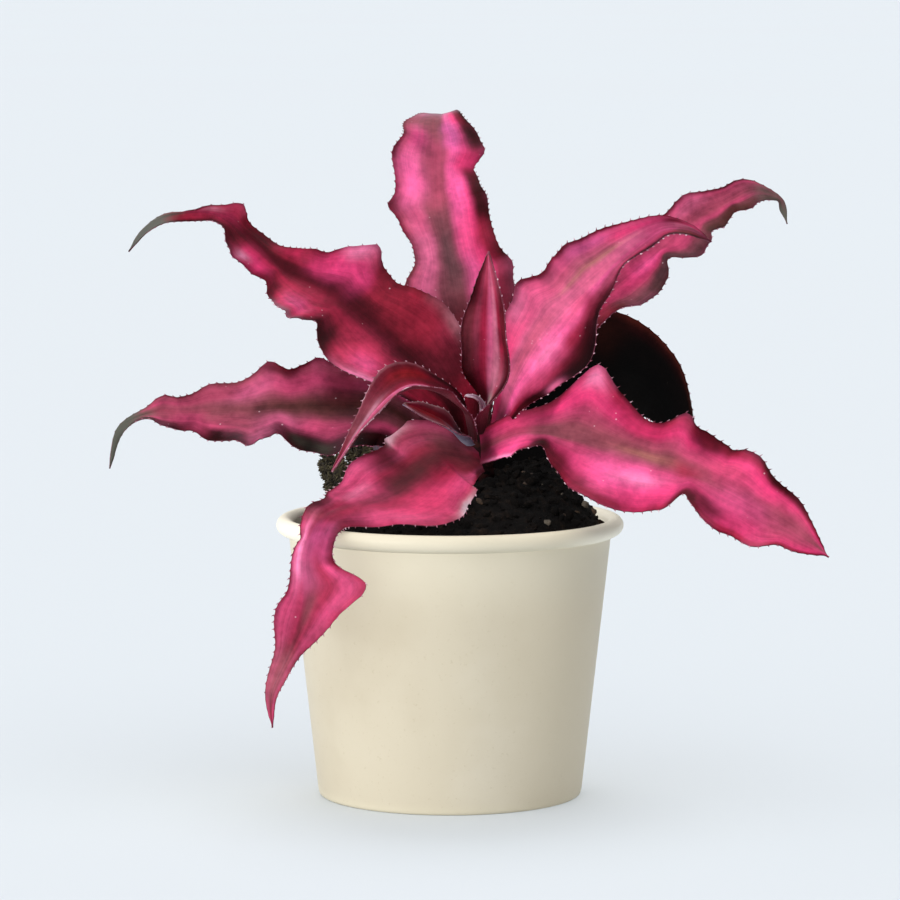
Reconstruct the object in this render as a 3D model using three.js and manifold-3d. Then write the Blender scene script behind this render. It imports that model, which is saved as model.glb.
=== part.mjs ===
// Potted earth star: a rosette of waved, toothed leaves on a short stem, in a round tapered pot.
// Millimetres, +Z up. The origin is the middle of the pot's underside, and -Y is the front.
import * as THREE from 'three';
import { mergeVertices } from 'three/addons/utils/BufferGeometryUtils.js';
import Module from 'manifold-3d';

const wasm = await Module();
wasm.setup();

// Pot
const potHeight = 85;
const footRadius = 40;
const footChamfer = 1;
const rimRadius = 49.5;
const beadRadius = 2.6;
const wallThickness = 2;
const floorThickness = 3;
const potSegments = 56;
const beadSteps = 8;
const beadArc = 1.5 * Math.PI;

// Soil
const clearance = 0.3;
const soilDepthAtWall = 5.5;
const moundHeight = 17;
const moundX = 17;
const moundY = 8;
const moundPower = 2.9;
const clodHeight = 1.3;
const clodRippleShare = 0.4;
const clodRippleLengths = [3.2, 3.8, 6.7, 4.5];
const crumbDraw = [12.9898, 78.233, 43758.5453];
const moundRings = 11;
const soilSegments = 44;

// Stem
const stemX = 8;
const stemRadius = 6;
const stemTopRadius = 3;
const stemSink = 14;
const stemTopZ = 110;
const stemSegments = 20;
const scarDepth = 0.35;
const scarCount = 7;
const stemTaperStart = 0.5;
const stemTopEdge = 0.6;

// Leaf blades
const bladeThickness = 1;
const marginThickness = 0.75;
const columns = [-1, -0.55, 0, 0.55, 1];
const stationPitch = 3;
const toothHeight = 0.9;
const toothFreeEnds = 0.08;
const wavePower = 1.6;
const wavePlateau = 1.1;
const tipHalfWidth = 0.5;

// Each leaf is a middle line from the stem to the tip, the way its upper face looks along it, half
// widths on either side at equal steps, the curl of its section in radians, and the height, count
// and two phases of its margin waves. Left and right are as seen on the upper face, tip upwards.
const leafShapes = {
  leaf_rear_low: {
    spine: [[5.3, 5.7, 98.6], [1, 20, 104], [-6, 39, 106], [-14, 57, 102], [-20, 71, 91], [-23, 79, 77]],
    face: [[0, -0.3, 1], [0.1, 0, 1], [-0.1, 0.8, 0.6]],
    left: [4, 9, 14, 15, 13, 14, 10, 6, 0.5],
    right: [4, 10, 13, 15, 14, 12, 11, 5, 0.5],
    leftLobes: [[0.3, 2, 4], [0.55, -2, 4]],
    rightLobes: [[0.42, 2, 4], [0.62, -2, 4]],
    curl: [0.5, 0.3, 0.2],
    wave: [3, 3, 0, 0.4],
  },
  leaf_rear_right: {
    spine: [
      [12.3, 5, 99.5], [24, 17, 111], [38, 27, 122], [52, 34, 126], [63, 40, 121], [71, 44, 108],
      [76, 46, 94],
    ],
    face: [[0.1, -0.7, 0.6], [0.5, -0.75, 0.15], [0.2, -0.8, 0.5], [0.3, -0.8, 0.4]],
    left: [4, 9, 15, 19, 21, 20, 16, 10, 5, 0.5],
    right: [4, 12, 26, 28, 22, 18, 13, 9, 5, 0.5],
    curl: [0.1, 0.1, 0.4, 0.3],
    wave: [1.5, 2, 0.2, 0.6],
  },
  leaf_left: {
    spine: [
      [0.7, -1.4, 100.5], [-6.5, -1, 108], [-18, 1, 117], [-32, 2, 118], [-48, 2, 118], [-65, 2, 117],
      [-79, 3, 116], [-90, 4, 116], [-100, 4, 111], [-103.5, 3, 99],
    ],
    face: [[0, -0.5, 0.8], [0, -0.75, 0.7], [0, -0.75, 0.7]],
    left: [4, 8, 14, 18, 20, 17.5, 12, 16, 11, 6.5, 2.5, 1, 0.5],
    right: [4, 10, 12.5, 12, 16, 16, 14.5, 11, 10, 5, 2, 1, 0.5],
    leftLobes: [[0.35, 5, 6], [0.49, -1, 3], [0.55, 4.5, 6], [0.7, -2.5, 3], [0.77, 2, 4]],
    rightLobes: [[0.39, 2.5, 3], [0.46, -2, 3], [0.51, 1.5, 3], [0.7, -1, 3], [0.78, 2, 3]],
    curl: [0, 0.4, 0.5],
    wave: [2.5, 4, 0, 0.3],
  },
  leaf_back: {
    spine: [
      [7, 6.6, 103.5], [6.5, 11, 118], [4.5, 16, 138], [1, 25, 156], [-3, 43, 177], [-4, 58, 194],
      [-4, 76, 203], [-1, 92, 202], [0, 102, 191],
    ],
    face: [[0, -1, 0.5], [0, -1, 0.7], [0, 0.2, 1]],
    left: [4, 7, 12, 15, 11.5, 13.5, 15, 12, 9.5, 5.5, 0.5],
    right: [4, 7, 13, 17.5, 15.5, 15, 12, 13, 8, 4.5, 0.5],
    leftLobes: [[0.33, 3, 7], [0.45, -1, 4], [0.53, 3, 3], [0.64, 2.5, 6], [0.76, 1.5, 6]],
    rightLobes: [[0.36, 2, 4], [0.52, 1, 6], [0.62, -1.5, 3], [0.66, 1.5, 3], [0.8, 1.5, 6]],
    curl: [0.3, 0.4, 0.3],
    wave: [2.5, 3, 0.3, 0.8],
  },
  leaf_far_right: {
    spine: [
      [13.9, 2.6, 102.5], [20, 6, 117], [28, 11, 132], [38, 16, 143], [53, 21, 155], [66, 27, 165],
      [75, 31, 173], [85, 34, 178], [94, 36, 182], [102, 37, 179], [104.5, 37, 171.5],
    ],
    face: [[-0.7, -0.5, 0.5], [0, -0.8, 0.6], [0, -0.7, 0.7]],
    left: [4, 5.5, 9, 12, 17, 17.5, 15.5, 13, 9, 8, 5.5, 2.5, 0.5],
    right: [4, 4.5, 6, 9.5, 8, 9, 10.5, 7.5, 10, 6.5, 5.5, 3.5, 0.5],
    leftLobes: [[0.69, -1, 3], [0.74, 1, 3], [0.86, 1.5, 4]],
    rightLobes: [[0.53, 1.5, 6], [0.62, -4, 3], [0.71, 3, 6], [0.81, -1, 3], [0.87, 2.5, 4]],
    curl: [0.3, 0.4, 0.3],
    wave: [2, 4, 0.1, 0.5],
  },
  leaf_front_right: {
    spine: [
      [13.2, -4.4, 100.5], [22, -10.5, 109], [37, -17, 110], [57, -24, 105], [76, -30, 99], [90, -34, 92],
      [103, -36, 84], [112, -37, 77],
    ],
    face: [[-0.2, -0.6, 0.8], [0, -0.75, 0.65], [0.1, -0.75, 0.65]],
    left: [3.5, 6, 12, 23.5, 19, 13.5, 13, 15, 15, 11.5, 8.5, 6.5, 0.5],
    right: [4, 8, 9, 12, 21.5, 25, 19, 12.5, 14, 14.5, 13, 7.5, 0.5],
    leftLobes: [[0.52, 4.5, 4], [0.62, -1, 3], [0.72, 1.5, 4], [0.86, 2, 6]],
    rightLobes: [
      [0.1, 2, 3], [0.19, -4, 3], [0.57, 3, 3], [0.6, -2, 3], [0.68, 1.5, 4], [0.76, -1.5, 3],
      [0.82, 1, 3], [0.87, -1.5, 3],
    ],
    curl: [0.3, 0.3, 0.3],
    wave: [2.5, 4, 0.2, 0.7],
  },
  leaf_front_left: {
    spine: [
      [4.5, -4.3, 101.5], [-3, -11, 105], [-11, -17, 102], [-20, -24, 97], [-29, -30.5, 93],
      [-38, -38, 89], [-42.5, -45, 79], [-43, -48, 65], [-47, -47, 51], [-52.5, -45, 38], [-52.5, -43, 27],
    ],
    face: [
      [-0.1, -0.6, 0.8], [-0.15, -0.6, 0.78], [-0.2, -0.5, 0.85], [-0.4, -0.9, 0.2], [-0.4, -0.9, 0.1],
    ],
    left: [4, 16, 21, 24.5, 28.5, 28, 19, 9, 8.5, 10, 10, 11, 8, 4.5, 3, 1.5, 0.5],
    right: [4, 8, 11, 12, 13.5, 12, 9, 7, 5, 4.5, 4.5, 7.5, 7.5, 4.5, 3, 1.5, 0.5],
    leftLobes: [[0.04, 3, 3], [0.1, -3, 3], [0.65, 10, 4]],
    rightLobes: [[0.33, -1.5, 4]],
    curl: [0.3, 0, 0, 0.2, 0.4, 0.4],
    wave: [2, 4, 0, 0.5],
  },
  leaf_upper_left: {
    spine: [
      [3.4, 3, 107.6], [0, 4.4, 118], [-9, 6, 129], [-24, 9, 142], [-38, 15, 152], [-51, 22, 158],
      [-61, 28, 167], [-73, 31, 175], [-86, 31, 174.5], [-94, 30, 170], [-99, 28, 163.5],
    ],
    face: [[0.5, -0.7, 0.5], [0.2, -0.8, 0.6], [0.1, -0.7, 0.7]],
    left: [4, 6, 12.5, 18, 20, 17, 16.5, 11.5, 7.5, 9, 4.5, 3, 2, 0.5],
    right: [4, 5, 10, 14.5, 16.5, 18, 19, 10.5, 5.5, 4, 3, 2, 1, 0.5],
    leftLobes: [[0.4, -2, 3], [0.47, 3.5, 6], [0.58, -4, 3], [0.66, 3, 4], [0.73, -1.5, 3], [0.8, 1, 5]],
    rightLobes: [[0.44, 4, 3], [0.5, -3, 3], [0.59, 2.5, 4], [0.74, 4, 3], [0.83, -2, 5]],
    curl: [0.4, 0.4, 0.4],
    wave: [2.5, 4, 0.4, 0.1],
  },
  leaf_upper_right: {
    spine: [
      [13, 0.6, 107.5], [17, -2, 118], [20, -6, 127], [26, -8, 138], [34, -8, 148], [43, -6, 156],
      [53, -3, 165], [63, 0, 172], [72, 2, 172], [79, 3, 168],
    ],
    face: [[-0.7, -0.6, 0.2], [-0.2, -0.9, 0.4], [0, -0.8, 0.6]],
    left: [3, 5, 9, 11, 13.5, 15, 14.5, 13, 10, 5, 2, 0.5],
    right: [3, 5, 7.5, 15, 17, 15.5, 6, 4.5, 4.5, 4, 3.5, 0.5],
    leftLobes: [[0.43, 2.5, 3], [0.49, -2, 3], [0.59, 2, 4]],
    rightLobes: [],
    curl: [0.1, 0.8, 0.6],
    wave: [1, 5, 0.3, 0.8],
  },
  leaf_heart_small: {
    spine: [[4.2, -2.6, 107.5], [-1, -9, 114], [-7, -15, 118], [-14, -20, 121]],
    face: [[0.3, -0.3, 0.9], [0.1, 0, 1], [0, 0, 1]],
    left: [2.5, 5, 5, 3.5, 0.5],
    right: [2.5, 5, 5, 3.5, 0.5],
    curl: [0.8, 1, 0.8],
    wave: [0.5, 2, 0, 0.5],
  },
  leaf_centre_arched: {
    spine: [
      [6.6, -4, 109], [4, -10, 118.5], [-3, -15, 124.5], [-11, -21, 127], [-18, -26, 124],
      [-26, -30, 115], [-35, -33, 102],
    ],
    face: [[0.1, -0.4, 0.9], [-0.1, -0.6, 0.8], [-0.4, -0.8, 0.4]],
    left: [2.5, 4, 7, 8, 6.5, 4.5, 2.5, 1.2, 0.5],
    right: [2.5, 4.5, 5, 5, 5.5, 5, 3.5, 1.8, 0.5],
    curl: [0.5, 1, 0.8],
    wave: [0.4, 4, 0, 0.5],
  },
  leaf_centre_upright: {
    spine: [[10, -3, 110.5], [11.5, -5.5, 120], [12, -9, 134], [12, -12, 150], [11.5, -12, 166]],
    face: [[-0.6, 0.2, 0.5], [-0.4, -0.9, 0], [-0.4, -0.9, 0]],
    left: [2.5, 6, 8.5, 9.5, 8.5, 4.5, 0.5],
    right: [2.5, 6, 10.5, 11, 8, 4.5, 0.5],
    curl: [0.5, 1.2, 0.9],
    wave: [0.4, 3, 0, 0.5],
  },
  leaf_heart_curl: {
    spine: [[7.6, 0.6, 111.2], [7.2, 0, 117], [7, -3, 121.5], [7.5, -6, 121], [7.5, -8.5, 118]],
    face: [[0, -1, 0.2], [0, -0.9, 0.5], [0.3, -0.5, 0.6]],
    left: [1.5, 2, 1.6, 0.5],
    right: [1.5, 2, 1.6, 0.5],
    curl: [0.6, 0.6, 0.6],
    wave: [0, 1, 0, 0],
  },
};

function finish(color, roughness) {
  return new THREE.MeshStandardMaterial({ color, roughness, metalness: 0 });
}

const potFinish = finish(0xddd3bd, 0.4);
const soilFinish = finish(0x1c1714, 0.95);
const stemFinish = finish(0x4a2a20, 0.8);
const leafFinish = finish(0xc23a66, 0.45);

function namedMesh(name, geometry, material) {
  const mesh = new THREE.Mesh(geometry, material);
  mesh.name = name;
  return mesh;
}

function lathe(profile, segments) {
  const points = profile.map(([radius, z]) => new THREE.Vector2(radius, z));
  return new THREE.LatheGeometry(points, segments).rotateX(Math.PI / 2);
}

// Straight taper of the wall from the foot to the top edge
function outerRadiusAt(z) {
  return footRadius + (rimRadius - footRadius) * (z / potHeight);
}

function innerRadiusAt(z) {
  return outerRadiusAt(z) - wallThickness;
}

// The wall ends in a rolled bead, which stands proud on the outside.
function potGeometry() {
  const beadZ = potHeight - beadRadius;
  const beadMiddle = rimRadius - wallThickness + beadRadius;
  const bead = [];
  for (let step = 0; step <= beadSteps; step += 1) {
    const angle = -Math.PI / 2 + (step / beadSteps) * beadArc;
    bead.push([beadMiddle + beadRadius * Math.cos(angle), beadZ + beadRadius * Math.sin(angle)]);
  }
  return lathe([
    [0, 0],
    [footRadius - footChamfer, 0],
    [footRadius, footChamfer],
    ...bead,
    [innerRadiusAt(floorThickness), floorThickness],
    [0, floorThickness],
  ], potSegments);
}

// Draw from -1 to 1 that comes out the same each time at the same point
function drawAt(x, y) {
  const [stepX, stepY, range] = crumbDraw;
  const value = Math.sin(Math.round(x * 10) * stepX + Math.round(y * 10) * stepY) * range;
  return 2 * (value - Math.floor(value)) - 1;
}

// Height of the clods over the smooth mound: long ripples with a crumb of its own at every point
function clodAt(x, y) {
  const [a, b, c, d] = clodRippleLengths;
  const ripple = Math.sin(x / a) * Math.cos(y / b) + Math.cos(x / c + y / d);
  return clodHeight * (clodRippleShare * ripple + (1 - clodRippleShare) * drawAt(x, y));
}

function solidFrom(geometry) {
  const bare = geometry.clone();
  bare.deleteAttribute('normal');
  bare.deleteAttribute('uv');
  const merged = mergeVertices(bare, 1e-3);
  return new wasm.Manifold(new wasm.Mesh({
    numProp: 3,
    vertProperties: merged.attributes.position.array,
    triVerts: new Uint32Array(merged.index.array),
  }));
}

function geometryFrom(solid) {
  const mesh = solid.getMesh();
  const geometry = new THREE.BufferGeometry();
  geometry.setAttribute('position', new THREE.BufferAttribute(mesh.vertProperties, 3));
  geometry.setIndex(new THREE.BufferAttribute(mesh.triVerts, 1));
  geometry.computeVertexNormals();
  return geometry;
}

// The soil fills the pot and rises to a mound of clods, with a plain hole for the stem.
function soilGeometry(holeRadius, holeBottom) {
  const bottom = floorThickness + clearance;
  const edgeZ = potHeight - soilDepthAtWall;
  const edgeRadius = innerRadiusAt(edgeZ) - clearance;
  const profile = [[0, bottom], [innerRadiusAt(bottom) - clearance, bottom], [edgeRadius, edgeZ]];
  for (let ring = 1; ring <= moundRings; ring += 1) {
    const share = 1 - ring / moundRings;
    profile.push([edgeRadius * share, edgeZ + moundHeight * (1 - share ** moundPower)]);
  }
  const geometry = lathe(profile, soilSegments);
  const position = geometry.attributes.position;
  for (let i = 0; i < position.count; i += 1) {
    const [x, y, z] = [position.getX(i), position.getY(i), position.getZ(i)];
    if (z > edgeZ + clearance) {
      const inward = 1 - Math.hypot(x, y) / edgeRadius;
      const [shiftedX, shiftedY] = [x + moundX * inward, y + moundY * inward];
      position.setXYZ(i, shiftedX, shiftedY, z + clodAt(shiftedX, shiftedY));
    }
  }
  const holeHeight = potHeight;
  const hole = new THREE.CylinderGeometry(holeRadius, holeRadius, holeHeight, stemSegments);
  hole.rotateX(Math.PI / 2).translate(stemX, 0, holeBottom + holeHeight / 2);
  return geometryFrom(solidFrom(geometry).subtract(solidFrom(hole)));
}

// The stem is a short tapered core, ringed by the scars of old leaves.
function stemGeometry(bottomZ) {
  const profile = [[0, bottomZ], [stemRadius, bottomZ]];
  const height = stemTopZ - bottomZ;
  for (let scar = 1; scar <= 2 * scarCount; scar += 1) {
    const share = scar / (2 * scarCount + 1);
    const taper = THREE.MathUtils.smoothstep(share, stemTaperStart, 1) * (stemRadius - stemTopRadius);
    profile.push([stemRadius - taper - (scar % 2) * scarDepth, bottomZ + height * share]);
  }
  profile.push([stemTopRadius - stemTopEdge, stemTopZ], [0, stemTopZ + stemTopEdge]);
  return lathe(profile, stemSegments);
}

// Smooth value at share 0 to 1 of a list of numbers set at equal steps
function smoothAt(values, share) {
  const place = share * (values.length - 1);
  const index = Math.min(Math.floor(place), values.length - 2);
  const at = (i) => values[THREE.MathUtils.clamp(i, 0, values.length - 1)];
  const t = place - index;
  const [a, b, c, d] = [at(index - 1), at(index), at(index + 1), at(index + 2)];
  return 0.5 * (2 * b + (c - a) * t + (2 * a - 5 * b + 4 * c - d) * t * t
    + (3 * b - a - 3 * c + d) * t * t * t);
}

function vectorAt(vectors, share) {
  return new THREE.Vector3(...[0, 1, 2].map((axis) => smoothAt(vectors.map((v) => v[axis]), share)));
}

// Half width of one margin: its smooth list with the lobes and notches set on it
function halfWidthAt(shape, onLeft, share, length) {
  const lobes = (onLeft ? shape.leftLobes : shape.rightLobes) ?? [];
  const smooth = smoothAt(onLeft ? shape.left : shape.right, share);
  const lobed = lobes.reduce((sum, [place, size, reach]) => {
    const distance = ((share - place) * length) / reach;
    return sum + size * Math.exp(-distance * distance);
  }, smooth);
  return Math.max(tipHalfWidth, lobed);
}

// One cross-section of a blade's middle surface
function sectionPoints(shape, curve, share, toothed) {
  const centre = curve.getPointAt(share);
  const along = curve.getTangentAt(share);
  const up = vectorAt(shape.face, share);
  up.addScaledVector(along, -up.dot(along)).normalize();
  const side = new THREE.Vector3().crossVectors(along, up);
  const curl = smoothAt(shape.curl, share);
  const [waveHeight, waveCount, leftPhase, rightPhase] = shape.wave;
  const envelope = Math.sin(Math.PI * share) ** wavePlateau;
  return columns.map((column) => {
    const half = halfWidthAt(shape, column < 0, share, curve.getLength());
    const tooth = Math.abs(column) === 1 && toothed ? toothHeight : 0;
    const reach = Math.abs(column) * half + tooth;
    const angle = curl * Math.abs(column);
    const phase = column < 0 ? leftPhase : rightPhase;
    const wave = waveHeight * envelope * Math.abs(column) ** wavePower
      * Math.sin(2 * Math.PI * (waveCount * share + phase));
    const across = reach * (angle > 0 ? Math.sin(angle) / angle : 1) * Math.sign(column);
    const lift = reach * (angle > 0 ? (1 - Math.cos(angle)) / angle : 0);
    const lean = -Math.sin(angle) * Math.sign(column);
    return centre.clone()
      .addScaledVector(side, across + wave * lean)
      .addScaledVector(up, lift + wave * Math.cos(angle));
  });
}

// The blade is a waved middle surface given thickness along its own normals, with both faces split
// into triangles alike. A tooth stands at every other station of each margin.
function leafGeometry(shape) {
  const curve = new THREE.CatmullRomCurve3(
    shape.spine.map((point) => new THREE.Vector3(...point)), false, 'catmullrom', 0.5,
  );
  const stations = 2 * Math.round(curve.getLength() / stationPitch / 2);
  const grid = [];
  for (let i = 0; i <= stations; i += 1) {
    const share = i / stations;
    const toothed = i % 2 === 1 && share > toothFreeEnds && share < 1 - toothFreeEnds;
    grid.push(sectionPoints(shape, curve, share, toothed));
  }
  const last = columns.length - 1;
  const vertices = [];
  for (const sign of [1, -1]) {
    for (let i = 0; i <= stations; i += 1) {
      for (let j = 0; j <= last; j += 1) {
        const along = grid[Math.min(i + 1, stations)][j].clone().sub(grid[Math.max(i - 1, 0)][j]);
        const across = grid[i][Math.min(j + 1, last)].clone().sub(grid[i][Math.max(j - 1, 0)]);
        const normal = across.cross(along).normalize();
        const thickness = THREE.MathUtils.lerp(bladeThickness, marginThickness, Math.abs(columns[j]));
        vertices.push(...grid[i][j].clone().addScaledVector(normal, (sign * thickness) / 2).toArray());
      }
    }
  }
  const top = (i, j) => i * (last + 1) + j;
  const under = (i, j) => (stations + 1 + i) * (last + 1) + j;
  const triangles = [];
  const quad = (a, b, c, d) => triangles.push(a, b, c, a, c, d);
  for (let i = 0; i < stations; i += 1) {
    for (let j = 0; j < last; j += 1) {
      quad(top(i, j), top(i, j + 1), top(i + 1, j + 1), top(i + 1, j));
      triangles.push(under(i, j), under(i + 1, j + 1), under(i, j + 1));
      triangles.push(under(i, j), under(i + 1, j), under(i + 1, j + 1));
    }
    quad(top(i, last), under(i, last), under(i + 1, last), top(i + 1, last));
    quad(top(i + 1, 0), under(i + 1, 0), under(i, 0), top(i, 0));
  }
  for (let j = 0; j < last; j += 1) {
    quad(top(0, j), under(0, j), under(0, j + 1), top(0, j + 1));
    quad(top(stations, j + 1), under(stations, j + 1), under(stations, j), top(stations, j));
  }
  const geometry = new THREE.BufferGeometry();
  geometry.setAttribute('position', new THREE.Float32BufferAttribute(vertices, 3));
  geometry.setIndex(triangles);
  geometry.computeVertexNormals();
  return geometry;
}

const moundTop = potHeight - soilDepthAtWall + moundHeight;
const stemBottom = moundTop - stemSink;

const plant = new THREE.Group();
const stem = namedMesh('stem', stemGeometry(stemBottom), stemFinish);
stem.position.x = stemX;
plant.add(stem);
for (const [name, shape] of Object.entries(leafShapes)) {
  plant.add(namedMesh(name, leafGeometry(shape), leafFinish));
}

const pottedEarthStar = new THREE.Group();
pottedEarthStar.add(namedMesh('pot', potGeometry(), potFinish));
pottedEarthStar.add(
  namedMesh('soil', soilGeometry(stemRadius + clearance, stemBottom - clearance), soilFinish),
);
pottedEarthStar.add(plant);

export default pottedEarthStar;
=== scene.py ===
import math
import random

import bpy
import numpy as np
from mathutils import Matrix, Vector, noise


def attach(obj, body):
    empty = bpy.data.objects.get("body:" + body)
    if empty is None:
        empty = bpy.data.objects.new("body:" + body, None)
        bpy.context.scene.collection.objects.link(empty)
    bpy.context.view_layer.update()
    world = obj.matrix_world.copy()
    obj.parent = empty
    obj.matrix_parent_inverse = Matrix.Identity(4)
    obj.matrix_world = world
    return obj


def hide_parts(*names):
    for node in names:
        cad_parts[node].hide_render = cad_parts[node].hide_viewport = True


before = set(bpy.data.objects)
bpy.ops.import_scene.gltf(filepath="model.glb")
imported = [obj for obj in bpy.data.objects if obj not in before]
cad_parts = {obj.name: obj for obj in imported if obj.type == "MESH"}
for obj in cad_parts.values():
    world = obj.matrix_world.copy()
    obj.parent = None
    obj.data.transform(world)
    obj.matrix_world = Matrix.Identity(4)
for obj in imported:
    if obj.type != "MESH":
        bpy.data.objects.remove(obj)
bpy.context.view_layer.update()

mm = 0.001
print("frame loaded:", len(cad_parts), "nodes")

# colours of the plant and of the highlights and shade painted on it, from its palest edge to its darkest
# fold
palette = {
    "chalk": "e0ccd6", "pale": "fc8cba", "pink": "ee5c9a", "blush": "d0628a", "rose": "c0446c",
    "hot": "de3c74", "orchid": "cc5898", "crimson": "9c203f", "berry": "6c1228", "wine": "4a0c18",
    "maroon": "260608", "night": "0a0403", "brown": "58302e", "umber": "5e3c42", "plum": "864450",
    "dusk": "ac4862", "mauve": "9c7686", "ash": "75726c", "olive": "34322a",
}


def paint(code):
    code = palette.get(code, code)
    channels = [int(code[i:i + 2], 16) / 255 for i in (0, 2, 4)]
    return tuple(c / 12.92 if c < 0.04045 else ((c + 0.055) / 1.055) ** 2.4 for c in channels) + (1.0,)


def clearSelection():
    if bpy.context.object and bpy.context.object.mode != "OBJECT":
        bpy.ops.object.mode_set(mode="OBJECT")
    bpy.ops.object.select_all(action="DESELECT")


def pick(piece, *others):
    clearSelection()
    for each in (piece, *others):
        each.select_set(True)
    bpy.context.view_layer.objects.active = piece


def smoothBy(piece, degrees):
    pick(piece)
    bpy.ops.object.shade_smooth_by_angle(angle=math.radians(degrees))


def settle(piece, node):
    # its place goes into the mesh, then it rides and stands for its node
    pick(piece)
    bpy.ops.object.transform_apply(location=True, rotation=True, scale=True)
    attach(piece, "root")
    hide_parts(node)
    print(piece.name, "done:", len(piece.data.polygons), "faces")


def shapeOf(model):
    # points and faces of a model, which is then put away
    points = np.array([v.co[:] for v in model.data.vertices])
    faces = [list(p.vertices) for p in model.data.polygons]
    bpy.data.objects.remove(model)
    return points, faces


def manyCopies(name, copies, faces):
    # one object from many sets of points in mm, which all share the model's faces
    mesh = bpy.data.meshes.new(name)
    size = len(copies[0])
    allFaces = [[n * size + i for i in face] for n in range(len(copies)) for face in faces]
    mesh.from_pydata((np.vstack(copies) * mm).tolist(), [], allFaces)
    piece = bpy.data.objects.new(name, mesh)
    bpy.context.scene.collection.objects.link(piece)
    return piece


def newFinish(name):
    finish = bpy.data.materials.new(name)
    finish.use_nodes = True
    return finish, finish.node_tree, finish.node_tree.nodes["Principled BSDF"]


def plug(tree, socket, value):
    if isinstance(value, bpy.types.NodeSocket):
        tree.links.new(value, socket)
    elif value is not None:
        socket.default_value = value


def coat(tree, shader, colour, roughness, shine=0.5):
    for name, value in (("Base Color", colour), ("Roughness", roughness), ("Specular IOR Level", shine)):
        plug(tree, shader.inputs[name], value)


def sums(tree, kind, first, second=None, third=None):
    node = tree.nodes.new("ShaderNodeMath")
    node.operation = kind
    for socket, value in zip(node.inputs, (first, second, third)):
        plug(tree, socket, value)
    return node.outputs[0]


def shifted(tree, value, pattern, amount):
    # a value pushed to and fro by a pattern of 0 to 1
    return sums(tree, "MULTIPLY_ADD", sums(tree, "SUBTRACT", pattern, 0.5), amount, value)


def blendColour(tree, factor, first, second):
    node = tree.nodes.new("ShaderNodeMix")
    node.data_type = "RGBA"
    for place, value in ((0, factor), (6, first), (7, second)):
        plug(tree, node.inputs[place], value)
    return node.outputs[2]


def spread(tree, value, low, high, newLow=0.0, newHigh=1.0):
    node = tree.nodes.new("ShaderNodeMapRange")
    node.interpolation_type = "SMOOTHSTEP"
    for place, entry in enumerate((value, low, high, newLow, newHigh)):
        plug(tree, node.inputs[place], entry)
    return node.outputs[0]


def swing(tree, pattern):
    # the middle of a noise, stretched to run from -1 to 1
    return spread(tree, pattern, 0.3, 0.7, -1.0, 1.0)


def tinted(tree, colour, code, value, low, high, most=1.0):
    # the colour turns towards the code while the value goes from low to high
    return blendColour(tree, spread(tree, value, low, high, 0.0, most), colour, paint(code))


def ramp(tree, value, stops):
    node = tree.nodes.new("ShaderNodeValToRGB")
    node.color_ramp.interpolation = "EASE"
    while len(node.color_ramp.elements) < len(stops):
        node.color_ramp.elements.new(0.5)
    for element, (place, code) in zip(node.color_ramp.elements, stops):
        element.position = place
        element.color = paint(code)
    plug(tree, node.inputs[0], value)
    return node.outputs[0]


def cloud(tree, vector, scale, detail=2.0, rough=0.5):
    node = tree.nodes.new("ShaderNodeTexNoise")
    for name, value in (("Vector", vector), ("Scale", scale), ("Detail", detail), ("Roughness", rough)):
        plug(tree, node.inputs[name], value)
    return node.outputs["Fac"]


def split(tree, vector):
    node = tree.nodes.new("ShaderNodeSeparateXYZ")
    plug(tree, node.inputs[0], vector)
    return node.outputs


def grain(tree, across, along, fine, coarse, seed, detail=2.0):
    # noise drawn out along the leaf
    node = tree.nodes.new("ShaderNodeCombineXYZ")
    sides = (sums(tree, "MULTIPLY", across, fine), sums(tree, "MULTIPLY", along, coarse), seed)
    for socket, value in zip(node.inputs, sides):
        plug(tree, socket, value)
    return cloud(tree, node.outputs[0], 1.0, detail)


def relief(tree, shader, height, strength, distance):
    node = tree.nodes.new("ShaderNodeBump")
    for name, value in (("Height", height), ("Strength", strength), ("Distance", distance)):
        plug(tree, node.inputs[name], value)
    plug(tree, shader.inputs["Normal"], node.outputs[0])


def objectSpace(tree):
    return tree.nodes.new("ShaderNodeTexCoord").outputs["Object"]


def leafSpace(tree):
    # across runs 0 to 1 from the left margin to the right one, along 0 to 1 from stem to tip
    node = tree.nodes.new("ShaderNodeUVMap")
    node.uv_map = "leafMap"
    return split(tree, node.outputs[0])[:2]


def pointValues(tree, name):
    node = tree.nodes.new("ShaderNodeAttribute")
    node.attribute_name = name
    return node.outputs


def grainyFinish(name, stops, pattern, roughness, shine=0.5, bump=None):
    # one run of colours over a noise (scale, detail, roughness), and a bump (scale, strength, metres)
    finish, tree, shader = newFinish(name)
    place = objectSpace(tree)
    coat(tree, shader, ramp(tree, cloud(tree, place, *pattern), stops), roughness, shine)
    if bump:
        relief(tree, shader, cloud(tree, place, bump[0], 3.0), *bump[1:])
    return finish


# what all leaves share: noise scales per metre, or (across, along) the leaf for lines and streaks,
# the colour of the scales, how light scatters in the flesh, and depths in metres
skin = {
    "wander": 48.0, "mottle": 130.0, "speckle": 420.0, "pores": 1100.0, "lines": (62.0, 5.0),
    "streaks": (13.0, 2.2), "scales": 420.0, "scaleFields": 210.0, "scaleColour": "f3d9e4",
    "flesh": (1.0, 0.25, 0.35), "fleshDepth": 0.0025, "relief": 0.00015,
    "underMottle": 160.0, "underPores": 900.0, "underLines": (60.0, 6.0), "underRelief": 0.0002,
}


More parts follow.
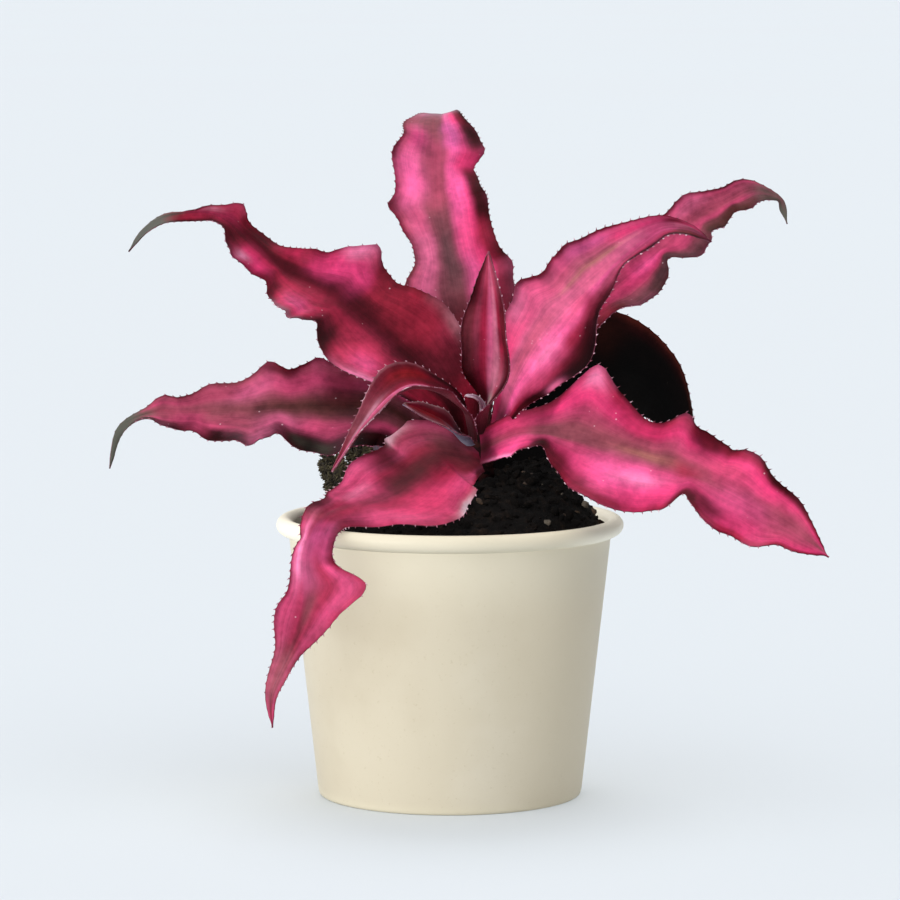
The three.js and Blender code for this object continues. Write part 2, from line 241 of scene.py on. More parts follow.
def upperFinish(name, look):
    finish, tree, shader = newFinish(name)
    across, along = leafSpace(tree)
    place = objectSpace(tree)

    wander = shifted(tree, across, cloud(tree, place, skin["wander"]), look["wander"])
    colour = ramp(tree, wander, [(percent / 100, code) for percent, code in look["bands"]])

    # painted highlight and painted shade: lobes of the margin are lighter, the notches between them darker
    swell = pointValues(tree, "lobe")["Fac"]
    colour = tinted(tree, colour, look["highlightColour"], swell, 0.1, 0.9, look["lobeHighlight"])
    colour = tinted(tree, colour, look["notchShadeColour"], swell, -0.05, -0.7, look["notchShade"])

    # painted shade: the heart end is deep maroon
    mottle = cloud(tree, place, skin["mottle"], 3.0)
    heart = shifted(tree, along, mottle, 0.12)
    colour = tinted(tree, colour, look["heartShadeColour"], heart, look["heartShadeReach"], 0.02, look["heart"])

    # soft patches of leaf colour, of painted highlight and of painted shade, laid on the blade's own points
    tintAndPaintedLight = pointValues(tree, "tintAndPaintedLight")
    colour = blendColour(tree, tintAndPaintedLight["Alpha"], colour, tintAndPaintedLight["Color"])

    # faint long lines and broader streaks that run with the leaf
    lines = grain(tree, across, along, *skin["lines"], look["seed"])
    streaks = grain(tree, across, along, *skin["streaks"], look["seed"] + 3, 3.0)
    speckle = cloud(tree, place, skin["speckle"], 3.0, 0.6)
    light = look["gain"]
    for pattern, key in ((streaks, "streaks"), (speckle, "speckle"), (lines, "lines"), (mottle, "mottle")):
        light = sums(tree, "MULTIPLY_ADD", swing(tree, pattern), look[key], light)
    shade = tree.nodes.new("ShaderNodeVectorMath")
    shade.operation = "SCALE"
    plug(tree, shade.inputs[0], colour)
    plug(tree, shade.inputs["Scale"], light)

    # dried tip and scattered white scales
    dry = look["tipStart"]
    colour = tinted(tree, shade.outputs[0], look["tipColour"], heart, dry, dry + 0.1)
    cells = tree.nodes.new("ShaderNodeTexVoronoi")
    plug(tree, cells.inputs["Scale"], skin["scales"])
    plug(tree, cells.inputs["Vector"], place)
    dots = spread(tree, cells.outputs["Distance"], 0.16, 0.05)
    fields = spread(tree, cloud(tree, place, skin["scaleFields"]), 0.62, 0.67)
    scale = sums(tree, "MULTIPLY", dots, fields)
    cover = sums(tree, "MULTIPLY", scale, look["scales"])
    colour = blendColour(tree, cover, colour, paint(skin["scaleColour"]))

    gloss = spread(tree, streaks, 0.3, 0.7, look["roughness"] - 0.06, look["roughness"] + 0.08)
    coat(tree, shader, colour, sums(tree, "MULTIPLY_ADD", scale, 0.25, gloss), look["shine"])
    plug(tree, shader.inputs["Subsurface Weight"], look["glow"])
    plug(tree, shader.inputs["Subsurface Radius"], skin["flesh"])
    plug(tree, shader.inputs["Subsurface Scale"], skin["fleshDepth"])
    height = sums(tree, "MULTIPLY_ADD", cloud(tree, place, skin["pores"]), 0.5, lines)
    relief(tree, shader, sums(tree, "MULTIPLY_ADD", scale, 0.6, height), 0.3, skin["relief"])
    return finish


def underFinish(name, stops, lineColour, fade):
    # mottled, with fine lines, and darker at the margins and the heart end as far as the fade says
    finish, tree, shader = newFinish(name)
    across, along = leafSpace(tree)
    place = objectSpace(tree)
    lines = grain(tree, across, along, *skin["underLines"], 4.0, 3.0)
    mottle = cloud(tree, place, skin["underMottle"], 3.0)
    edge = sums(tree, "ABSOLUTE", sums(tree, "MULTIPLY_ADD", across, 2.0, -1.0))
    colour = tinted(tree, ramp(tree, mottle, stops), lineColour, lines, 0.4, 0.7, 0.45)
    colour = tinted(tree, colour, "berry", edge, 0.6, 1.0, 0.7 * fade)
    colour = tinted(tree, colour, "maroon", along, 0.22, 0.0, 0.85 * fade)
    coat(tree, shader, colour, spread(tree, mottle, 0.3, 0.7, 0.5, 0.68), 0.3)
    height = sums(tree, "ADD", lines, cloud(tree, place, skin["underPores"], 3.0))
    relief(tree, shader, height, 0.5, skin["underRelief"])
    return finish


underSkins = {name: underFinish(name + "side", *entries) for name, entries in {
    "leafUnder": ([(0.3, "3a2430"), (0.5, "563c4c"), (0.7, "706078")], "7e6c84", 1.0),
    "youngUnder": ([(0.3, "44181f"), (0.5, "6c2c38"), (0.7, "884854")], "945c64", 1.0),
    "paleUnder": ([(0.3, "5c6078"), (0.5, "8088a0"), (0.7, "a8acc0")], "b4b4c6", 0.25),
}.items()}
edgeSkins = {name: grainyFinish(name, stops, (300.0, 2.0), roughness, 0.3) for name, stops, roughness in (
    ("marginSpine", [(0.35, "6e3444"), (0.5, "a06478"), (0.65, "dcb8c4")], 0.4),
    ("darkRim", [(0.35, "3a0c18"), (0.5, "5c1c30"), (0.65, "84485a")], 0.5),
    ("paleRim", [(0.35, "a06878"), (0.5, "d0a4b0"), (0.65, "ecd6dc")], 0.5),
    ("brokenRim", [(0.42, "5a1c2c"), (0.56, "96606f"), (0.7, "d8b8c2")], 0.5),
    # painted shade: a black rim for the leaf kept in deep shade
    ("blackRim", [(0.35, "0c0504"), (0.6, "241010")], 0.6),
)}
print("skins mixed:", len(underSkins) + len(edgeSkins))


blade = {
    "rowPitch": 0.62,        # mm between cross-sections
    "columns": 36,           # faces across
    "thickness": 0.9,        # mm at the middle
    "marginShare": 0.3,      # share of the thickness left at the margin
    "smoothAngle": 50,       # degrees
    "spinePitch": 2.3,       # mm from spine to spine
    "spineSpan": (0.07, 0.93),   # shares of the leaf between which spines stand
    "spineLength": 1.15,     # mm
    "spineRadius": 0.24,
    "spineLean": 0.3,        # mm that a spine's point leans towards the tip of the leaf
    "cusp": 0.28,            # mm that the margin swells to under each spine
    "channel": 0.3,          # mm depth of the fold along the middle
    "channelHalf": 0.14,     # its half-width as a share of the leaf's
    "lobeWindow": 0.11,      # share of the leaf over which a lobe is told from the mean margin
    "lobeFull": 2.2,         # mm beyond the mean margin that make a full lobe
    "ruffleReach": 9,        # mm from one small ruffle to the next
    "tipRound": 0.03,        # share of the leaf over which the tip closes
    "drift": 0.3,            # how far the edges of colour patches wander, as a share of their reach
    "driftReach": 6,         # mm from one wander to the next
}


def through(a, b, c, d, t):
    # smooth curve from b to c, with a and d the points before and after them
    second, third = 2 * a - 5 * b + 4 * c - d, 3 * b - a - 3 * c + d
    return 0.5 * (2 * b + (c - a) * t + second * t ** 2 + third * t ** 3)


def smoothValues(values, shares):
    values = np.asarray(values, float)
    last = len(values) - 1
    place = np.clip(shares, 0, 1) * last
    index = np.minimum(np.floor(place).astype(int), last - 1)
    t = (place - index).reshape((-1,) + (1,) * (values.ndim - 1))
    return through(*(values[np.clip(index + step, 0, last)] for step in (-1, 0, 1, 2)), t)


def ripples(first, second, seed):
    # smooth noise between -1 and 1 for each pair of values
    return np.array([noise.noise(Vector((a, b, seed))) for a, b in zip(first, second)])


def unit(vectors):
    return vectors / np.linalg.norm(vectors, axis=-1, keepdims=True)


class MiddleLine:
    # curve through the points of a leaf, read by its share of the whole length
    def __init__(self, points):
        points = np.asarray(points, float)
        self.points = np.vstack([2 * points[0] - points[1], points, 2 * points[-1] - points[-2]])
        self.spans = len(points) - 1
        self.steps = np.linspace(0, self.spans, 601)
        walk = self.at(self.steps)
        self.walked = np.concatenate([[0], np.cumsum(np.linalg.norm(np.diff(walk, axis=0), axis=1))])
        self.length = self.walked[-1]

    def at(self, u):
        index = np.minimum(np.floor(u).astype(int), self.spans - 1)
        return through(*(self.points[index + step] for step in range(4)), (u - index)[:, None])

    def point(self, share):
        return self.at(np.interp(np.clip(share, 0, 1) * self.length, self.walked, self.steps))

    def direction(self, share):
        return unit(self.point(share + 1e-3) - self.point(share - 1e-3))


def sideWidth(shape, line, share, side):
    # mean half-width of one side in mm, with its lobes (+) and notches (-) laid on it
    wide = smoothValues(shape[side], share)
    for place, size, reach in shape.get(side + "Lobes", []):
        wide = wide + size * np.exp(-((share - place / 100) * line.length / reach) ** 2)
    return np.maximum(0.5, wide)


def lobeAt(shape, line, share, side):
    # how far the margin stands out from its own mean line, -1 to 1
    window = np.linspace(-blade["lobeWindow"], blade["lobeWindow"], 9)
    mean = np.mean([sideWidth(shape, line, np.clip(share + w, 0, 1), side) for w in window], axis=0)
    return np.clip((sideWidth(shape, line, share, side) - mean) / blade["lobeFull"], -1, 1)


def bladePoints(shape, line, across, share):
    # the leaf's middle surface in mm, and how far each point belongs to a lobe
    side = np.abs(across)
    tangent = line.direction(share)
    up = smoothValues(shape["face"], share)
    up = unit(up - np.sum(up * tangent, axis=1)[:, None] * tangent)
    right = np.cross(tangent, up)

    def bySide(measure, *rest):
        return np.where(across < 0, measure(*rest, "left"), measure(*rest, "right"))

    half = bySide(sideWidth, shape, line, share)
    half = half * np.clip((1.004 - share) / blade["tipRound"], 0.25, 1)
    beat = np.abs(np.sin(math.pi * share * line.length / blade["spinePitch"]))
    half = half + blade["cusp"] * (1 - beat) ** 2 * np.clip(half / 4, 0, 1) * side ** 4

    # the waves, lobes and ruffles lift the margin, and fade at either end of the leaf
    height, count, leftPhase, rightPhase = shape["wave"]
    turn = 2 * math.pi * (count * share + np.where(across < 0, leftPhase, rightPhase))
    envelope = np.sin(math.pi * np.clip(share, 0, 1)) ** 1.1
    lobe = bySide(lobeAt, shape, line, share)
    fine = ripples(share * line.length / blade["ruffleReach"], across * 1.5 + shape["seed"], 0.0)
    wave = height * side ** 1.6 * np.sin(turn) + shape["lobeLift"] * lobe * side ** 1.5
    wave = wave + shape["ruffle"] * fine * side ** 2
    wave = (wave - blade["channel"] * np.exp(-(across / blade["channelHalf"]) ** 2)) * envelope

    # the blade curls across like part of a tube
    reach = side * half
    angle = smoothValues(shape["curl"], share) * side
    curled = angle > 1e-6
    safe = np.where(curled, angle, 1.0)
    width = reach * np.where(curled, np.sin(angle) / safe, 1.0) - wave * np.sin(angle)
    lift = reach * np.where(curled, (1 - np.cos(angle)) / safe, 0.0) + wave * np.cos(angle)
    points = line.point(share) + right * (width * np.sign(across))[:, None] + up * lift[:, None]
    return points, lobe * side ** 1.3


def tintAndPaintedLightOf(shape, line, across, share):
    # soft patches of leaf colour, of painted highlight and of painted shade, each laid over the ones before
    # it, with uneven edges
    along = share * line.length
    drift = [blade["drift"] * ripples(along / blade["driftReach"], across * 1.8, shape["seed"] + more)
             for more in (0, 40)]
    colour, cover = np.zeros((len(share), 3)), np.zeros(len(share))
    for place, side, reach, breadth, name, strength in shape["colourAndLightPatches"]:
        place, side, breadth, strength = np.array((place, side, breadth, strength)) / 100
        alongPart = (along - place * line.length) / reach + drift[0]
        acrossPart = (across - side) / breadth + drift[1]
        weight = strength * np.exp(-(alongPart ** 2 + acrossPart ** 2) ** 1.25)
        colour = colour * (1 - weight)[:, None] + np.array(paint(name)[:3]) * weight[:, None]
        cover = 1 - (1 - cover) * (1 - weight)
    return np.column_stack([colour / np.maximum(cover, 1e-4)[:, None], cover])


def spineModel():
    clearSelection()
    bpy.ops.mesh.primitive_cone_add(vertices=6, radius1=blade["spineRadius"], radius2=0.03, depth=1.0,
                                    location=(0, 0, 0.42))
    model = bpy.context.object
    bpy.ops.object.transform_apply(location=True)
    bpy.ops.object.mode_set(mode="EDIT")
    bpy.ops.mesh.select_all(action="DESELECT")
    bpy.ops.object.mode_set(mode="OBJECT")
    for vertex in model.data.vertices:
        vertex.select = vertex.co.z > 0.5
    bpy.ops.object.mode_set(mode="EDIT")
    bpy.ops.transform.translate(value=(0, blade["spineLean"], 0))
    bpy.ops.object.mode_set(mode="OBJECT")
    return shapeOf(model)


spinePoints, spineFaces = spineModel()


def growSpines(name, shape, line):
    draw = random.Random(name)
    shares = np.arange(int(line.length / blade["spinePitch"])) * blade["spinePitch"] / line.length
    first, last = blade["spineSpan"]
    shares = shares[(shares > first) & (shares < last)]
    copies = []
    for margin in (-1.0, 1.0):
        edge, _ = bladePoints(shape, line, np.full(len(shares), margin), shares)
        inner, _ = bladePoints(shape, line, np.full(len(shares), margin * 0.93), shares)
        for spot, inside, forward, share in zip(edge, inner, line.direction(shares), shares):
            out = unit(unit(spot - inside) + forward * draw.uniform(0.1, 0.5))
            flat = unit(np.cross(out, forward))
            size = blade["spineLength"] * draw.uniform(0.65, 1.15) * shape["spines"]
            axes = np.array([flat, np.cross(flat, out), out * size * min(1.0, (1 - share) * 4)])
            copies.append(spot + spinePoints @ axes)
    spines = manyCopies(name + "Spines", copies, spineFaces)
    spines.data.materials.append(edgeSkins["marginSpine"])
    return spines


def growLeaf(node, shape):
    shape = {**usualLook, **shape}
    line = MiddleLine(shape["spine"])
    clearSelection()
    bpy.ops.mesh.primitive_grid_add(x_subdivisions=blade["columns"], size=2, calc_uvs=True,
                                    y_subdivisions=int(line.length / blade["rowPitch"]))
    leaf = bpy.context.object
    leaf.name = node + "_blade"
    mesh = leaf.data
    mesh.uv_layers[0].name = "leafMap"
    flat = np.array([v.co[:] for v in mesh.vertices])
    across, share = flat[:, 0], (flat[:, 1] + 1) / 2
    points, lobe = bladePoints(shape, line, across, share)
    tintAndPaintedLight = tintAndPaintedLightOf(shape, line, across, share)
    mesh.vertices.foreach_set("co", (points * mm).ravel())
    mesh.attributes.new("lobe", "FLOAT", "POINT").data.foreach_set("value", lobe)
    mesh.attributes.new("tintAndPaintedLight", "FLOAT_COLOR", "POINT").data.foreach_set("color", tintAndPaintedLight.ravel())
    thin = leaf.vertex_groups.new(name="thin")
    for vertex, a in zip(mesh.vertices, across):
        thin.add([vertex.index], 1 - (1 - blade["marginShare"]) * abs(a) ** 3, "REPLACE")
    for finish in (upperFinish(node + "Upper", shape), underSkins[shape["under"]], edgeSkins[shape["rim"]]):
        mesh.materials.append(finish)
    wall = leaf.modifiers.new("wall", "SOLIDIFY")
    wall.thickness = blade["thickness"] * mm
    wall.offset = 0
    wall.vertex_group = "thin"
    wall.material_offset = 1
    wall.material_offset_rim = 2
    bpy.ops.object.modifier_apply(modifier="wall")
    smoothBy(leaf, blade["smoothAngle"])
    pick(leaf, growSpines(node, shape, line))
    bpy.ops.object.join()
    settle(leaf, node)


# how a leaf looks where its own dictionary says nothing else
usualLook = {
    "bands": [(0, "maroon"), (5, "wine"), (16, "crimson"), (28, "rose"), (42, "brown"),
              (58, "brown"), (72, "rose"), (84, "crimson"), (95, "wine"), (100, "maroon")],
    "wander": 0.04, "gain": 0.9, "streaks": 0.10, "lines": 0.05, "mottle": 0.18, "speckle": 0.10,
    # painted highlight on the lobes, painted shade in the notches and at the heart end
    "lobeHighlight": 0.2, "notchShade": 0.75, "highlightColour": "blush", "notchShadeColour": "wine",
    "heart": 0.9, "heartShadeReach": 0.28, "heartShadeColour": "maroon",
    "tipStart": 0.9, "tipColour": "ash", "scales": 0.45,
    "roughness": 0.48, "shine": 0.05, "glow": 0.1,
    "lobeLift": 0.5, "ruffle": 0.5, "spines": 0.75, "rim": "darkRim", "under": "leafUnder",
}


# In each leaf the spine points are mm from stem to tip, and left and right are half-widths along it.
# Lobes are (% of the length, mm out, mm reach), and wave is (mm high, count, phase at left and right).
# Patches, of the leaf's own colour and of painted highlight and painted shade, are (% of the length, % of
# the half-width, mm reach,
# % reach, colour, % strength), and bands are (% of the way from the left margin to the right one, colour).
rearLow = dict(
    spine=[(5.3, 5.7, 98.6), (1, 20, 104), (-6, 39, 106), (-14, 57, 102), (-20, 71, 91), (-23, 79, 77)],
    face=[(0, -0.3, 1), (0.1, 0, 1), (-0.1, 0.8, 0.6)],
    left=[4, 9, 14, 15, 13, 14, 10, 6, 0.5],
    right=[4, 10, 13, 15, 14, 12, 11, 5, 0.5],
    leftLobes=[(30, 2, 4), (55, -2, 4)],
    rightLobes=[(42, 2, 4), (62, -2, 4)],
    colourAndLightPatches=[
        (35, -50, 9, 40, "rose", 60), (50, 50, 10, 40, "rose", 60), (42, 0, 20, 22, "brown", 70),
        (62, 95, 6, 30, "maroon", 80), (55, -95, 6, 30, "maroon", 80), (75, -40, 8, 40, "rose", 50),
    ],
    curl=[0.5, 0.3, 0.2], wave=(3, 3, 0, 0.4), seed=11,
)
growLeaf("leaf_rear_low", rearLow)

# painted shade: this leaf is coloured near black, as an old leaf in deep shade behind the right-hand leaves
rearRight = dict(
    spine=[
        (12.3, 5, 99.5), (24, 17, 111), (38, 27, 122), (52, 34, 126), (63, 40, 121), (71, 44, 108),
        (76, 46, 94),
    ],
    face=[(0.1, -0.7, 0.6), (0.5, -0.75, 0.15), (0.2, -0.8, 0.5), (0.3, -0.8, 0.4)],
    left=[4, 9, 15, 19, 21, 19.2, 14.4, 9.2, 5, 0.5],
    right=[4, 12, 26, 28, 22, 19.5, 15.5, 9, 5, 0.5],
    colourAndLightPatches=[
        (50, -97, 30, 10, "5a2018", 85), (62, -85, 14, 12, "maroon", 70), (52, -75, 6, 40, "2a0c08", 80),
    ],
    bands=[(0, "180a08"), (10, "080404"), (50, "040303"), (100, "050303")],
    curl=[0.1, 0.1, 0.4, 0.3], wave=(1.5, 2, 0.2, 0.6), seed=12, lobeHighlight=0, notchShade=0, heart=0,
    tipColour="140806", scales=0.03, roughness=0.6, glow=0, spines=0.4, rim="blackRim",
)
growLeaf("leaf_rear_right", rearRight)

leftLeaf = dict(
    spine=[
        (0.7, -1.4, 100.5), (-6.5, -1, 108), (-18, 1, 117), (-32, 2, 118), (-48, 2, 118), (-65, 2, 117),
        (-79, 3, 116), (-90, 4, 116), (-100, 4, 111), (-103.5, 3, 99),
    ],
    face=[(0, -0.5, 0.8), (0, -0.75, 0.7), (0, -0.75, 0.7)],
    left=[4, 8, 14, 18, 20, 17.5, 12, 16, 11, 6.5, 2.5, 1, 0.5],
    right=[4, 10, 12.5, 12, 16, 14.8, 13.7, 9.9, 9.2, 4.3, 2, 1, 0.5],
    leftLobes=[
        (35, 5, 6), (49, -1.3, 2), (49, -1, 3), (55, 4.5, 6), (56, 1.2, 2), (59, -1.2, 2), (70, -2.5, 3),
        (70, -1.3, 6), (77, 2, 4), (79, 1.5, 3),
    ],
    rightLobes=[(39, 2.5, 3), (46, -2, 3), (51, 1.5, 3), (70, -1, 3), (78, 2, 3)],
    colourAndLightPatches=[
        (28, 10, 9, 80, "maroon", 85), (42, 0, 16, 28, "brown", 85), (62, 0, 12, 40, "plum", 70),
        (74, 0, 9, 70, "dusk", 80), (39, -90, 12, 28, "night", 95), (37, -85, 4, 15, "olive", 80),
        (44, -80, 3, 12, "olive", 60), (53, -80, 4.5, 30, "blush", 80), (64, -95, 11, 22, "maroon", 95),
        (37, -42, 8, 18, "rose", 85), (50, -40, 9, 22, "blush", 70), (60, -35, 7, 25, "dusk", 80),
        (71, -45, 5, 40, "rose", 80), (34, 55, 5, 50, "wine", 85), (44, 50, 10, 28, "rose", 85),
        (56, 55, 8, 30, "blush", 70), (66, 60, 8, 28, "dusk", 80), (49, 90, 4, 12, "wine", 85),
        (62, 98, 10, 8, "plum", 60),
    ],
    bands=[
        (0, "night"), (14, "maroon"), (26, "rose"), (38, "plum"), (50, "brown"), (64, "plum"), (78, "rose"),
        (92, "dusk"), (100, "wine"),
    ],
    curl=[0, 0.4, 0.5], wave=(2.5, 4, 0, 0.3), seed=2, gain=0.8, tipStart=0.79, tipColour="54544c",
    spines=0.35,
)
growLeaf("leaf_left", leftLeaf)

backLeaf = dict(
    spine=[
        (7, 6.6, 103.5), (6.5, 11, 118), (4.5, 16, 138), (1, 25, 156), (-3, 43, 177), (-4, 58, 194),
        (-4, 76, 203), (-1, 92, 202), (0, 102, 191),
    ],
    face=[(0, -1, 0.5), (0, -1, 0.7), (0, 0.2, 1)],
    left=[4, 7, 12, 15, 10.5, 12.8, 13.7, 10.8, 7.5, 5.5, 0.5],
    right=[4, 7, 13, 17.5, 15.5, 15, 12, 13, 6, 3.3, 0.5],
    leftLobes=[(33, 3, 7), (45, -1, 4), (53, 3, 3), (64, 2.5, 6), (76, 1.5, 6)],
    rightLobes=[(36, 2, 4), (52, 1, 6), (62, -1.5, 3), (66, 1.5, 3), (80, 1.5, 6)],
    colourAndLightPatches=[
        (40, 0, 17, 32, "umber", 92), (24, 10, 12, 90, "wine", 90), (57, -2, 9, 26, "dusk", 85),
        (66, 0, 9, 30, "9a3c58", 85), (76, -10, 7, 40, "plum", 85), (41, -62, 14, 30, "blush", 92),
        (59.5, -60, 10, 32, "f868a4", 95), (50, -55, 5, 20, "rose", 50), (70, -55, 7, 35, "bc3a70", 90),
        (78, -55, 6, 50, "plum", 85), (44, 42, 9, 20, "ce4476", 92), (57, 45, 10, 22, "pink", 95),
        (72, 40, 9, 24, "orchid", 90), (64, 70, 4, 30, "hot", 85), (50, 86, 14, 20, "maroon", 97),
        (70, 86, 7.5, 24, "maroon", 97), (43, 75, 5, 20, "crimson", 70), (84, 0, 6, 130, "mauve", 85),
        (35, -98, 8, 8, "brown", 70), (53, -98, 3, 20, "wine", 80), (65, -99, 4, 12, "wine", 70),
    ],
    bands=[
        (0, "berry"), (7, "dusk"), (20, "blush"), (38, "plum"), (54, "plum"), (68, "pink"), (80, "hot"),
        (90, "berry"), (100, "maroon"),
    ],
    curl=[0.3, 0.4, 0.3], wave=(2.5, 3, 0.3, 0.8), seed=3, gain=0.98, tipStart=0.95, heartShadeReach=0.24,
    spines=0.3, scales=0.2,
)
growLeaf("leaf_back", backLeaf)

farRight = dict(
    spine=[
        (13.9, 2.6, 102.5), (20, 6, 117), (28, 11, 132), (38, 16, 143), (53, 21, 155), (66, 27, 165),
        (75, 31, 173), (85, 34, 178), (94, 36, 182), (102, 37, 179), (104.5, 37, 171.5),
    ],
    face=[(-0.7, -0.5, 0.5), (0, -0.8, 0.6), (0, -0.7, 0.7)],
    left=[4, 5.5, 9, 12, 17, 17, 14.9, 12.3, 9, 7.2, 4.4, 1.6, 0.5],
    right=[4, 4.5, 6, 9.5, 8, 9, 10.5, 7.5, 10, 6.5, 5.5, 3.5, 0.5],
    leftLobes=[(69, -1, 3), (74, 1, 3), (86, 1.5, 4)],
    rightLobes=[
        (48, 1.5, 3), (53, 1.5, 6), (61, -1.3, 2), (62, -4, 3), (65.5, 2.3, 3), (71, 3, 6), (73, -1.4, 2),
        (77, 1.5, 2), (81, -1, 3), (81.5, -1.2, 2), (87, -1.2, 2), (87, 2.5, 4), (94, -1.5, 2),
    ],
    colourAndLightPatches=[
        (55, 15, 12, 35, "hot", 90), (57, 10, 6, 20, "pink", 60), (66, 15, 6, 40, "rose", 85),
        (60, 76, 14, 25, "umber", 92), (41, 30, 6, 80, "crimson", 80), (34, 40, 7, 100, "3c1418", 90),
        (78, -30, 13, 50, "dusk", 85), (73, -60, 6, 30, "blush", 60), (80, 75, 12, 30, "brown", 85),
        (90, 0, 6, 100, "umber", 85),
    ],
    bands=[
        (0, "wine"), (10, "rose"), (30, "c04c70"), (50, "dusk"), (65, "rose"), (78, "plum"), (90, "brown"),
        (100, "maroon"),
    ],
    curl=[0.3, 0.4, 0.3], wave=(2, 4, 0.1, 0.5), seed=4, gain=0.75, tipStart=0.87, tipColour="5c5c52",
    spines=0.3,
)
growLeaf("leaf_far_right", farRight)

frontRight = dict(
    spine=[
        (9.5, -7.5, 105.5), (22, -11.5, 111), (37, -17, 110), (57, -24, 105), (76, -30, 99), (90, -34, 92),
        (103, -36, 84), (112, -37, 77),
    ],
    face=[(-0.2, -0.6, 0.8), (0, -0.75, 0.65), (0.1, -0.75, 0.65)],
    left=[8, 8.5, 12, 23.5, 19, 13.5, 13, 15, 15, 11.5, 8.5, 4.8, 0.5],
    right=[7, 8.5, 9, 12, 21.5, 25, 19, 12.5, 14, 14.5, 13, 7.5, 0.5],
    leftLobes=[
        (26, 2.5, 4), (52, 4.5, 4), (55, -1, 2), (62, -1, 3), (65, -1.6, 2), (72, 1.5, 4), (86, 2, 6),
    ],
    rightLobes=[
        (10, 2, 3), (19, -4, 3), (57, 3, 3), (59, -3, 2), (60, -2, 3), (68, 1.5, 4), (76, -1.5, 3),
        (82, 1, 3), (87, -1.5, 3),
    ],
    colourAndLightPatches=[
        (2, 20, 4, 120, "maroon", 90), (10, 55, 6, 50, "e84f88", 92), (7, 95, 5, 16, "pale", 80),
        (10, -50, 6, 50, "c83c68", 80), (18.5, 75, 4, 45, "maroon", 95), (25, 70, 7, 35, "wine", 92),
        (33, 80, 7, 25, "berry", 80), (24, -72, 6, 26, "hot", 92), (26.5, -84, 3, 12, "pale", 85),
        (42, -70, 14, 22, "b82a58", 88), (40, -25, 17, 24, "8c4250", 90), (46, -8, 9, 10, "9c6858", 60),
        (44, 40, 13, 28, "pink", 95), (47, 38, 7, 12, "pale", 60), (50, 75, 8, 22, "hot", 80),
        (42, 92, 10, 10, "berry", 70), (58.5, -85, 6, 32, "maroon", 95), (59, -78, 2.5, 12, "berry", 70),
        (57, 0, 5, 20, "crimson", 70), (67, -35, 9, 35, "c8446c", 90), (67, 60, 8, 30, "4a0a18", 92),
        (62, 85, 6, 20, "wine", 80), (76, 15, 12, 40, "c84a7a", 85), (80, -50, 9, 30, "hot", 70),
        (88, 0, 10, 80, "dusk", 80), (80, -95, 16, 17, "maroon", 95),
    ],
    bands=[
        (0, "maroon"), (6, "crimson"), (18, "hot"), (30, "rose"), (42, "plum"), (50, "plum"), (60, "rose"),
        (75, "hot"), (88, "hot"), (96, "crimson"), (100, "berry"),
    ],
    curl=[0.3, 0.3, 0.3], wave=(2.5, 4, 0.2, 0.7), seed=5, gain=1, tipStart=0.98, heartShadeReach=0.05,
    heart=0.6,
)
growLeaf("leaf_front_right", frontRight)

frontLeft = dict(
    spine=[
        (9, -6.5, 102.5), (-3, -11, 105), (-11, -17, 102), (-20, -24, 97), (-29, -30.5, 93), (-38, -38, 89),
        (-42.5, -45, 79), (-43, -48, 65), (-47, -47, 51), (-52.5, -45, 38), (-52.5, -43, 27),
    ],
    face=[(-0.1, -0.6, 0.8), (-0.15, -0.6, 0.78), (-0.2, -0.5, 0.85), (-0.4, -0.9, 0.2), (-0.4, -0.9, 0.1)],
    left=[6, 16, 21, 24.5, 28.5, 28, 19, 9, 8.5, 10, 10, 11, 8, 4.5, 3, 1.5, 0.5],
    right=[8, 11, 14, 12, 13.5, 12, 9, 7, 5, 4.5, 4.5, 7.5, 7.5, 4.5, 3, 1.5, 0.5],
    leftLobes=[(4, 3, 3), (10, -3, 3), (65, 10, 4)],
    rightLobes=[
        (12, 3, 5), (15, 3, 3), (30, 2.5, 8), (33, -1.5, 4), (43, -2.5, 3), (53, -1, 2), (67, -1.2, 4),
    ],
    colourAndLightPatches=[
        (20, -15, 15, 27, "4a1c20", 92), (6, -20, 6, 50, "7a2a36", 80), (8, 35, 6, 45, "6a3238", 92),
        (4, 60, 4, 70, "5c2c34", 80), (25, -60, 13, 26, "cc3864", 95), (13, -45, 6, 20, "crimson", 80),
        (38, -70, 5, 40, "rose", 85), (14, 66, 4, 30, "b0405c", 90), (15, 90, 3.2, 17, "f0c8d4", 85),
        (20, -100, 6, 8, "chalk", 85), (22.5, 50, 4, 55, "wine", 90), (34, 30, 9, 50, "ce4070", 90),
        (35, 20, 5, 22, "ea7ca4", 55), (30, 90, 6, 20, "de5684", 70), (44.5, 0, 3, 130, "8a2a44", 85),
        (45.5, 85, 3, 35, "maroon", 90), (60, 20, 10, 50, "c05882", 90), (57, 45, 9, 28, "f086b2", 85),
        (47.5, 50, 2.5, 50, "a0505f", 60), (53, -40, 6, 50, "a84470", 85), (74, 50, 9, 40, "rose", 85),
        (74, -70, 8, 35, "rose", 85), (70, -20, 6, 15, "plum", 70), (88, 0, 11, 130, "a05866", 85),
    ],
    bands=[
        (0, "crimson"), (15, "d84c7c"), (30, "crimson"), (45, "berry"), (60, "crimson"), (75, "rose"),
        (90, "rose"), (100, "berry"),
    ],
    curl=[0.3, 0, 0, 0.2, 0.4, 0.4], wave=(2, 4, 0, 0.5), seed=6, gain=0.88, tipStart=0.98, heartShadeReach=0.05,
    heart=0.5, spines=0.7,
)
growLeaf("leaf_front_left", frontLeft)

